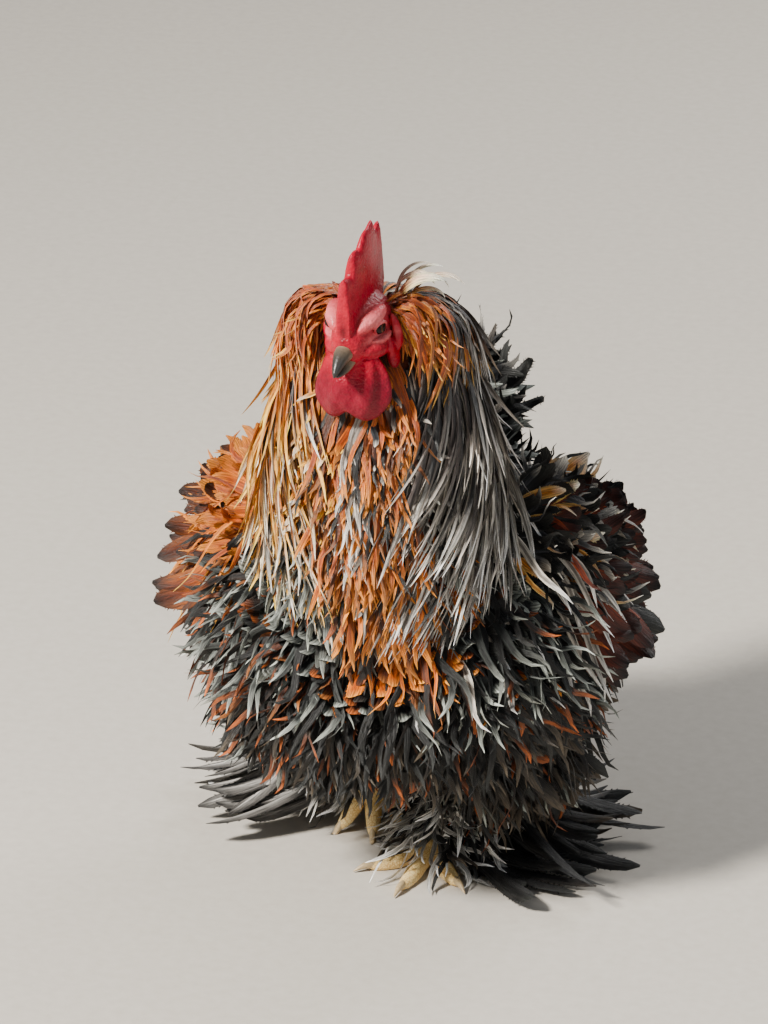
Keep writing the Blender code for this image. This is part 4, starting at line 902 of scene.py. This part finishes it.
def feather_look(name, roughness, sheen, gloss):
    """A feather's vane: barbs run out from the shaft at a slant, so light breaks into fine ribs."""
    made, tree = material(name)
    marks = node(tree, "Attribute", attribute_name="marking")
    place = node(tree, "UVMap", uv_map="vane")
    apart = node(tree, "SeparateXYZ", {0: place})
    out = node(tree, "Math", {0: apart.outputs["X"]}, operation="ABSOLUTE")
    slant = node(tree, "Math", {0: out, 1: -1.6, 2: apart.outputs["Y"]}, operation="MULTIPLY_ADD")
    # Barbs are 0.3 mm apart on the bird, too fine to show here, so they are drawn 1.1 mm apart.
    wobble = node(tree, "TexNoise", {"Vector": place, "Scale": 0.6, "Detail": 3.0})
    warped = node(tree, "Math", {0: wobble, 1: 2.4, 2: slant}, operation="MULTIPLY_ADD")
    wave = node(tree, "Math", {0: warped, 1: 2 * math.pi / 1.1}, operation="MULTIPLY")
    barbs = node(tree, "Math", {0: wave}, operation="SINE")
    # Frizzled barbs part into strands that run with the shaft, about a millimetre wide.
    length = node(tree, "Math", {0: apart.outputs["Y"], 1: 0.07}, operation="MULTIPLY")
    strands = node(tree, "CombineXYZ", {"X": apart.outputs["X"], "Y": length})
    parted = node(tree, "TexNoise", {"Vector": strands, "Scale": 1.3, "Detail": 3.0, "Roughness": 0.6})
    dark = node(tree, "MapRange", {
        "Value": parted, "From Min": 0.36, "From Max": 0.64, "To Min": 0.34, "To Max": 1.42})
    fine = node(tree, "MapRange", {"Value": barbs, "From Min": -1.0, "To Min": 0.80, "To Max": 1.12})
    tone = node(tree, "Math", {0: dark, 1: fine}, operation="MULTIPLY")
    shaft = node(tree, "MapRange", {"Value": out, "From Max": 0.35, "To Min": 1.35, "To Max": 1.0})
    both = node(tree, "Math", {0: tone, 1: shaft}, operation="MULTIPLY")
    mixed = node(tree, "VectorMath", {0: marks, "Scale": both}, operation="SCALE")
    bumped = node(tree, "Bump", {"Height": tone, "Distance": 0.0006, "Strength": 0.6})
    shader = node(tree, "BsdfPrincipled", {
        "Base Color": mixed, "Roughness": roughness, "IOR": 1.55, "Sheen Weight": sheen,
        "Sheen Roughness": 0.35, "Specular IOR Level": gloss, "Normal": bumped})
    node(tree, "OutputMaterial", {"Surface": shader})
    return made


# Down: matt and woolly, with no gloss of its own.
down_look = feather_look("loose_down", 0.85, 0.25, 0.2)
free = scatter(torso, 1900, (0.02, 0.98), (0, FULL_TURN), 11)
free = chosen(free, ~buried(free, neck, 0.006))
down = [vanes(free, "body", (0, 1.0, -1.0), 0.018, 0.008, 36, 50, 12, rings=7, fray=0.0014, turn_by=0.8,
              shade=0.2)]
free = scatter(neck, 900, (0.22, 0.84), (0, FULL_TURN), 13)
down.append(vanes(free, "hackle", (0, 0.25, -1), 0.024, 0.0032, 14, 30, 14, rings=8, turn_by=0.5,
                  waver=0.4))
coat_piece("down", down, down_look)

# The coat of breast, belly and back
# Rows of broad frizzled feathers that turn outwards and forwards and twist, soft and open at the edges.
# Their quills sit in the skin.

# Contour feathers: smooth keratin barbs with a silky sheen, dark at the root and bright at the curled tip.
vane_look = feather_look("frizzled_contour_feather", 0.50, 0.08, 0.40)
coat = []
for count, seed in ((2700, 21), (6400, 26)):
    roots = scatter(torso, count, (0.02, 0.99), (0, FULL_TURN), seed)
    hidden = np.any([buried(roots, form, 0.004) for form in (neck, tail_root, *wings.values())], axis=0)
    coat.append(chosen(roots, ~hidden))
for name, low, high, seed in (("breast_coat", 0.0, 0.44, 22), ("back_coat", 0.44, 1.0, 23)):
    batches = []
    for layer, roots in enumerate(coat):
        here = chosen(roots, (roots["u"] >= low) & (roots["u"] < high))
        pull = np.interp(here["u"], (0, 0.15, 0.45, 0.7, 0.9, 1), (2.2, 1.7, 1.0, 1.2, 2.6, 4.0))
        flow = np.column_stack([np.zeros(len(pull)), np.ones(len(pull)), -pull])
        share = np.interp(here["at"][:, 2], (0.060, 0.085, 0.125), (0.55, 0.72, 1.0))
        if layer == 0:
            batches.append(vanes(here, "body", flow, 0.038 * share, 0.0060, 5, 16, seed, sway=0.8,
                                 twist=1.3, turn_by=0.30, fray=0.0016, spread=0.30, cup=0.6, power=2.0,
                                 locks=0.5, shade=0.2, waver=0.5, droop=0.5))
        else:
            batches.append(vanes(here, "body", flow, 0.046 * share, 0.0034, 14, 62, seed + 4, sway=0.9,
                                 twist=1.6, turn_by=0.35, spread=0.35, shape=LOCK, power=2.2, locks=0.55,
                                 shade=0.3, waver=0.8, droop=0.6))
    if name == "breast_coat":
        crop = scatter(neck, 700, (0.04, 0.42), (math.radians(10), math.radians(170)), 24)
        crop = chosen(crop, ~buried(crop, torso, 0.003))
        batches.append(vanes(crop, "body", (0, -0.1, -1), 0.042, 0.0038, 6, 34, 25, sway=0.6, twist=1.3,
                             spread=0.32, shape=LOCK, cup=0.6, power=2.2, locks=0.5, shade=0.25, waver=0.6,
                             droop=0.4))
    coat_piece(name, batches, vane_look)

# The wings
# Folded along the flanks. Broad flight feathers fan from the lower edge, with rows of coverts that overlap
# them and small frizzled ones over the shoulder.

# Flight feathers: stiffer and flatter, with a close weave of barbs and more gloss.
flight_look = feather_look("flight_feather", 0.48, 0.06, 0.40)
# First and last place along the wing, number, angle round it, length, width, rise, curl, fall and outline.
TIERS = (
    (0.32, 0.97, 22, -42, 0.064, 0.0140, 22, 40, 0.55, FLIGHT),
    (0.30, 0.95, 21, -26, 0.058, 0.0125, 28, 52, 0.50, FLIGHT),
    (0.22, 0.92, 22, -8, 0.050, 0.0115, 24, 58, 0.42, FLIGHT),
    (0.18, 0.88, 23, 12, 0.042, 0.0100, 26, 66, 0.38, BROAD),
    (0.14, 0.86, 23, 30, 0.036, 0.0090, 26, 74, 0.35, BROAD),
    (0.16, 0.84, 20, 48, 0.032, 0.0080, 28, 84, 0.30, BROAD),
)
for name, side in SIDES.items():
    form, batches, left = wings[name], [], side > 0
    for row, (first, last, count, low, length, width, rise, curl, fall, shape) in enumerate(TIERS):
        share = np.linspace(0, 1, count)
        angle = np.full(count, math.radians(low) if left else math.pi - math.radians(low))
        u = first + (last - first) * share
        place, centre = surface(form, u, angle), axes(form, u)[0]
        out = unit(unit(place - centre) + (side * 0.9, 0, 0))
        roots = {"u": u, "angle": angle, "at": place, "out": out}
        flow = np.column_stack([np.full(count, 0.15 * side), 0.55 + 0.55 * share,
                                -fall * (1.15 - 0.5 * share)])
        batches.append(vanes(roots, "wing", flow, length, width, rise, curl, 30 + row + (10 if left else 0),
                             twist=0.6, turn_by=0.14, rings=18, across=5, shape=shape, fray=0.0012,
                             spread=0.12, tip_from=0.40, locks=0.2, waver=0.3, shade=0.25))
    small = scatter(form, 420, (0.04, 0.80), (-0.3, math.pi + 0.3), 45)
    outer = small["out"][:, 0] * side > -0.1
    shoulder = chosen(small, outer)
    drape = chosen(small, outer & (small["u"] < 0.50) & (np.arange(len(outer)) % (5 if left else 9) == 0))
    below = (-0.95, -0.05) if left else (math.pi + 0.05, math.pi + 0.95)
    flank = scatter(torso, 420, (0.26, 0.86), below, 47)
    batches += [
        vanes(shoulder, "shoulder", (0.2 * side, 0.9, -0.5), 0.030, 0.0060, 16, 84, 46, twist=1.0, sway=0.5,
              fray=0.0012, turn_by=0.35, spread=0.25, power=2.0, waver=0.3),
        vanes(drape, "shoulder", (0.5 * side, 0.35, -1.0), 0.068, 0.0040, 16, 10, 51, twist=0.8, sway=0.4,
              spread=0.2, rings=15, shape=LOCK, locks=0.3, waver=0.5, droop=1.1,
              kinds="ivory" if left else "gold"),
        vanes(flank, "flank", (1.1 * side, 0.35, -1.0), 0.054, 0.0085, 12, 36, 48, twist=1.0, sway=0.7,
              fray=0.0016, turn_by=0.30, spread=0.26, rings=13, cup=0.5, power=1.8, waver=0.5, droop=0.4),
        vanes(shoulder, "shoulder", (0.2 * side, 0.9, -0.9), 0.040, 0.0026, 14, 60, 49, twist=1.4, sway=0.9,
              turn_by=0.4, spread=0.35, shape=LOCK, locks=0.5, waver=0.7, droop=0.4),
        vanes(flank, "flank", (1.0 * side, 0.35, -1.0), 0.056, 0.0030, 16, 40, 50, twist=1.5, sway=1.0,
              turn_by=0.45, spread=0.3, rings=12, shape=LOCK, locks=0.5, waver=0.8, droop=0.5)]
    coat_piece("wing_coat_" + name, batches, flight_look)

# The tail and saddle
# Curled sickles stand round the root of the tail, with long narrow saddle hackles in front of them.


def parting(roots, spread):
    """A flow to the rear that parts to both sides, by `spread` times the distance from the middle."""
    count = len(roots["u"])
    return np.column_stack([spread * roots["at"][:, 0], np.ones(count), np.full(count, -0.3)])


roots = scatter(tail_root, 260, (0.12, 0.97), (-0.5, math.pi + 0.5), 51)
length = np.interp(roots["u"], (0.2, 0.5, 0.8, 1), (0.038, 0.046, 0.050, 0.046))
saddle = scatter(torso, 700, (0.48, 0.90), (0.1, math.pi - 0.1), 53)
saddle = chosen(saddle, ~buried(saddle, tail_root) & ~buried(saddle, neck))
coat_piece("tail_coat", [
    vanes(roots, "rear", parting(roots, 1.5), length, 0.0075, 10, 90, 52, sway=0.9, twist=1.4, turn_by=0.5,
          rings=15, shape=LOCK, fray=0.0016, waver=0.7),
    vanes(saddle, "rear", parting(saddle, 2.0), 0.050, 0.0034, 14, 60, 54, sway=0.9, twist=1.4,
          turn_by=0.35, rings=12, shape=LOCK, spread=0.3, waver=0.7, power=1.8, droop=0.3)],
    vane_look)

# The thighs
# Deep loose fluff from flank to hock, which hides the legs down to the feathered shanks.

for name, side in SIDES.items():
    roots = scatter(thighs[name], 2300, (0.16, 0.97), (0, FULL_TURN), 61 if side > 0 else 62)
    roots = chosen(roots, ~buried(roots, torso, 0.006))
    broad = np.random.default_rng(60).random(len(roots["u"])) < 0.35
    long = (0.042 + 0.007 * side) * np.interp(roots["u"], (0.2, 0.55, 1), (1.05, 0.95, 0.58))
    coat_piece("thigh_coat_" + name, [
        vanes(chosen(roots, broad), "thigh", (0.55 * side, 0.25, -1), 0.93 * long[broad], 0.0060, 10, 34,
              63 if side > 0 else 64, sway=0.8, twist=1.2, turn_by=0.3, fray=0.0018, spread=0.35, cup=0.6,
              power=2.0, locks=0.5, waver=0.5, droop=0.4),
        vanes(chosen(roots, ~broad), "thigh", (0.45 * side, 0.1, -1), long[~broad], 0.0028, 16, 40, 65,
              sway=0.9, twist=1.5, turn_by=0.4, spread=0.35, shape=LOCK, power=1.8, locks=0.6, waver=0.8,
              droop=0.5)], vane_look)

# The feathered shanks
# Long stiff vanes fan out to the side and back from the shank and lie along the ground, with pale fluff
# where they grow out of the leg.

FOOT_VANES, GOLDEN_SHARE = 78, 0.382
for name, side in SIDES.items():
    form = shanks[name]
    k = np.arange(FOOT_VANES)
    share = k / (FOOT_VANES - 1)
    heading = np.radians(-34 + 142 * ((k * GOLDEN_SHARE) % 1))
    length = (0.084 - 0.020 * share) * (1 + 0.16 * np.cos(heading) ** 2)
    lie = np.column_stack([side * np.cos(heading), np.sin(heading), np.zeros(FOOT_VANES)])
    u = 0.18 + 0.74 * share
    place = axes(form, u)[0] + lie * 0.004
    upwards = np.broadcast_to((0.0, 0.0, 1.0), (FOOT_VANES, 3))
    roots = {"u": u, "angle": heading, "at": place, "out": upwards}
    fall = np.degrees(np.arcsin(np.minimum(0.66 * place[:, 2] / length, 0.8)))
    fluff = scatter(form, 760, (0.02, 0.86), (0, FULL_TURN), 73)
    coat_piece("foot_coat_" + name, [
        vanes(roots, "foot", lie, length, 0.0088, -fall - 12, 34, 71 if side > 0 else 72, sway=0.45,
              twist=0.8, turn_by=0.16, rings=16, across=5, shape=FLIGHT, fray=0.0016, sink=0.0, spread=0.2,
              rest=0.003, locks=0.12, edging=0.35, tip_from=0.85),
        vanes(fluff, "fluff", (0.7 * side, -0.15, -0.9), 0.040, 0.0028, 46, 10, 74, sway=0.9, twist=1.3,
              turn_by=0.6, shape=LOCK, spread=0.35, rest=0.002, waver=0.7, droop=0.5)],
        flight_look)

# The hackle and ruff
# Narrow pointed hackles flow down the neck and over the shoulders, golden on the bird's right side and
# darker with pale edges on its left, partly from their own dark centres and partly as painted shade. Short
# curled ones frame the face.

# The hood that the hackles make: height, middle in Y, half width and half depth.
HOOD = np.array([(0.120, -0.020, 0.0640, 0.072), (0.160, -0.024, 0.0620, 0.068),
                 (0.200, -0.029, 0.0590, 0.060), (0.240, -0.034, 0.0565, 0.053),
                 (0.270, -0.038, 0.0530, 0.048), (0.295, -0.041, 0.0460, 0.044),
                 (0.320, -0.042, 0.0330, 0.034), (0.340, -0.042, 0.0210, 0.024),
                 (0.360, -0.042, 0.0100, 0.012)])
ALL_ROUND = (-np.pi / 2, 1.5 * np.pi)


def hanging(roots, length, rings, rise, layer, sweep, flick, seed, ease=0.68):
    """The ways of hackles under their own weight. Each leaves the neck at `rise`, swings out to its own
    share of the hood's ellipse, hangs down along it, sweeps to the front by its share, and flicks out by
    its cube. `ease` is the part of its way that it keeps at each step."""
    chance = np.random.default_rng(seed)
    at = roots["at"] - BIRD_AT
    n = len(at)
    x, y, z = at.T
    drift = 0.6 * np.sin(260 * x + 170 * z + 3 * np.sin(120 * y)) + 0.4 * np.sin(340 * y - 250 * z)
    layer = layer * chance.uniform(0.86, 1.03, n)
    sweep = sweep * chance.uniform(0.4, 1.5, n)
    flick = flick * (0.7 + 6 * chance.random(n) ** 6)
    way = unit(roots["out"] * np.sin(rise) + np.array([0, 0, -1.0]) * np.cos(rise))
    ways = []
    for share in np.linspace(0, 1, rings):
        middle, wide, deep = (np.interp(at[:, 2], HOOD[:, 0], column) for column in HOOD[:, 1:].T)
        reach = np.hypot(at[:, 0] / wide, (at[:, 1] - middle) / deep)
        radial = unit(np.column_stack([at[:, 0], at[:, 1] - middle, np.zeros(n)]))
        heading = np.degrees(np.arctan2(np.abs(radial[:, 0]), -radial[:, 1]))
        forward = np.column_stack([radial[:, 1], -radial[:, 0], np.zeros(n)]) * np.sign(radial[:, :1])
        amount = sweep * share * ramp(heading, 12, 22) * np.clip((135 - heading) / 60, 0, 1)
        push = 3.2 * (layer - reach) + flick * share**3
        turned = forward * (amount + 0.30 * drift * share)[:, None]
        way = unit(ease * way + (1 - ease) * (radial * push[:, None] + turned - np.array([0, 0, 1.0])))
        ways.append(way)
        at = at + way * np.broadcast_to(length, n)[:, None] / (rings - 1)
    return np.stack(ways, axis=1)


# Hackles: long glossy strands, split at the tips, with the strongest shine of the whole coat.
hackle_look = feather_look("hackle_feather", 0.44, 0.22, 0.5)
roots = scatter(neck, 5600, (0.33, 0.94), ALL_ROUND, 81)
turned_by = np.degrees((np.pi / 2 - roots["angle"] + np.pi) % (2 * np.pi) - np.pi)
roots = chosen(roots, np.abs(turned_by - 3) >= np.where(roots["u"] < 0.72, 26, 48))
heading = np.pi / 2 - roots["angle"]
layer = np.interp(roots["u"], (0.33, 0.50, 0.70, 0.94), (0.95, 0.96, 0.99, 1.0))
length = np.interp(roots["u"], (0.33, 0.45, 0.60, 0.74, 0.94), (0.062, 0.076, 0.084, 0.082, 0.068))
length = length * np.where(np.sin(heading) > 0, 1.06, 0.94) * np.where(np.cos(heading) > 0.62, 0.72, 1)
rise = np.interp(roots["u"], (0.33, 0.60, 0.94), (0.35, 0.60, 0.9))[:, None]
on_right = np.sin(heading) < -0.05
for name, part, seed in (("hackle_right", on_right, 82), ("hackle_left", ~on_right, 83)):
    here = chosen(roots, part)
    lines = hanging(here, length[part], 15, rise[part], layer[part], 0.85, 0.35, seed)
    strands = vanes(here, "hackle", (0, 0.1, -1), length[part], 0.0028, 0, 0, seed, sway=0.25, twist=1.0,
                    turn_by=0.10, rings=15, shape=POINTED, spread=0.28, tip_from=0.62, cup=0.6, locks=0.22,
                    waver=0.26, shade=0.2, ways=lines)
    coat_piece(name, [strands], hackle_look)
roots = scatter(neck, 2400, (0.84, 0.998), ALL_ROUND, 85)
near_share = np.where(np.sin(roots["angle"]) > 0.35, 0.85, 0.25)
near_face = np.random.default_rng(86).random(len(roots["u"])) < near_share
ruff = []
for part, long, wide, share, sweep, flick, seed in ((~near_face, 0.050, 0.0024, 1.0, 0.25, 0.2, 87),
                                                    (near_face, 0.033, 0.0026, 0.93, -0.2, 1.2, 88)):
    here = chosen(roots, part)
    lines = hanging(here, long, 14, 2.25, share, sweep, flick, seed, 0.77)
    ruff.append(vanes(here, "ruff", (0, 0.1, -1), long, wide, 0, 0, seed, sway=0.3, twist=0.9, turn_by=0.15,
                      rings=14, shape=POINTED, tip_from=0.7, cup=0.5, spread=0.22, locks=0.2, waver=0.2,
                      ways=lines))
pale = scatter(neck, 7, (0.93, 0.985), (0.1, 1.0), 84)
throat_roots = scatter(neck, 1300, (0.34, 0.86), (math.radians(56), math.radians(116)), 90)
ruff += [
    vanes(pale, "ruff", (0.9, 0, -0.2), 0.036, 0.0080, 104, -170, 89, sway=0.3, turn_by=0.3, rings=20,
          shape=POINTED, tip_from=0.30, kinds="cream"),
    vanes(throat_roots, "throat", (0, -0.1, -1), 0.038, 0.0026, 8, 30, 91, sway=0.4, twist=1.0, turn_by=0.2,
          spread=0.35, shape=LOCK, locks=0.5, power=2.4, waver=0.5, droop=0.4)]
coat_piece("ruff", ruff, hackle_look)

# Floor, light and camera
# A plain pale floor of fine plaster, one broad soft light from the bird's right, a weak one from its left
# and a pale room. The camera stands where the photo's did.

corners = np.array([[-6, -6, 0], [6, -6, 0], [6, 6, 0], [-6, 6, 0]])
floor = mesh_object("floor", corners, np.array([[0, 1, 2, 3]]))
# Plaster: matt and dusty, with a trowelled grain 6 mm wide.
floor_look, tree = material("fine_plaster")
place = node(tree, "TexCoord").outputs["Object"]
grain = node(tree, "TexNoise", {"Vector": place, "Scale": 160.0, "Detail": 6.0})
tone = node(tree, "MixRGB", {
    "Fac": grain, "Color1": (*linear("BDB6AB"), 1), "Color2": (*linear("CFC9BF"), 1)})
bumped = node(tree, "Bump", {"Height": grain, "Distance": 0.0004, "Strength": 0.3})
shader = node(tree, "BsdfPrincipled", {"Base Color": tone, "Roughness": 0.8, "Normal": bumped})
node(tree, "OutputMaterial", {"Surface": shader})
floor.data.materials.append(floor_look)
floor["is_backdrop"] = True

AZIMUTH, ELEVATION, AWAY = math.radians(13), math.radians(22), 3.0
AIM = np.array([-0.0074, 0.0, 0.188])
back = np.array([math.sin(AZIMUTH) * math.cos(ELEVATION), -math.cos(AZIMUTH) * math.cos(ELEVATION),
                 math.sin(ELEVATION)])


def placed(obj, where, target):
    """Puts a camera or a light at a point and aims it at another."""
    obj.location = where
    obj.rotation_euler = Vector(np.asarray(target) - np.asarray(where)).to_track_quat("-Z", "Y").to_euler()
    bpy.context.scene.collection.objects.link(obj)


camera = bpy.data.objects.new("camera", bpy.data.cameras.new("camera"))
camera.data.lens = 214.0
camera.data.sensor_width = 36.0
camera.data.clip_start, camera.data.clip_end = 0.1, 50.0
placed(camera, AIM + back * AWAY, AIM)
bpy.context.scene.camera = camera
for name, where, size, power, tint in (
        ("key", (-1.25, -1.5, 1.9), 0.40, 185.0, (1.0, 0.955, 0.88)),
        ("fill", (1.9, -1.2, 0.9), 1.6, 9.0, (0.90, 0.95, 1.0)),
        ("rim", (0.8, 1.6, 1.5), 0.9, 26.0, (1.0, 0.98, 0.95))):
    lamp = bpy.data.objects.new(name, bpy.data.lights.new(name, "AREA"))
    lamp.data.size = size
    lamp.data.energy = power
    lamp.data.color = tint
    placed(lamp, where, (0, 0, 0.16))
world = bpy.data.worlds.new("pale_room")
world.use_nodes = True
world.node_tree.nodes["Background"].inputs["Color"].default_value = (0.80, 0.84, 0.90, 1)
world.node_tree.nodes["Background"].inputs["Strength"].default_value = 0.26
bpy.context.scene.world = world

low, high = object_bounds()
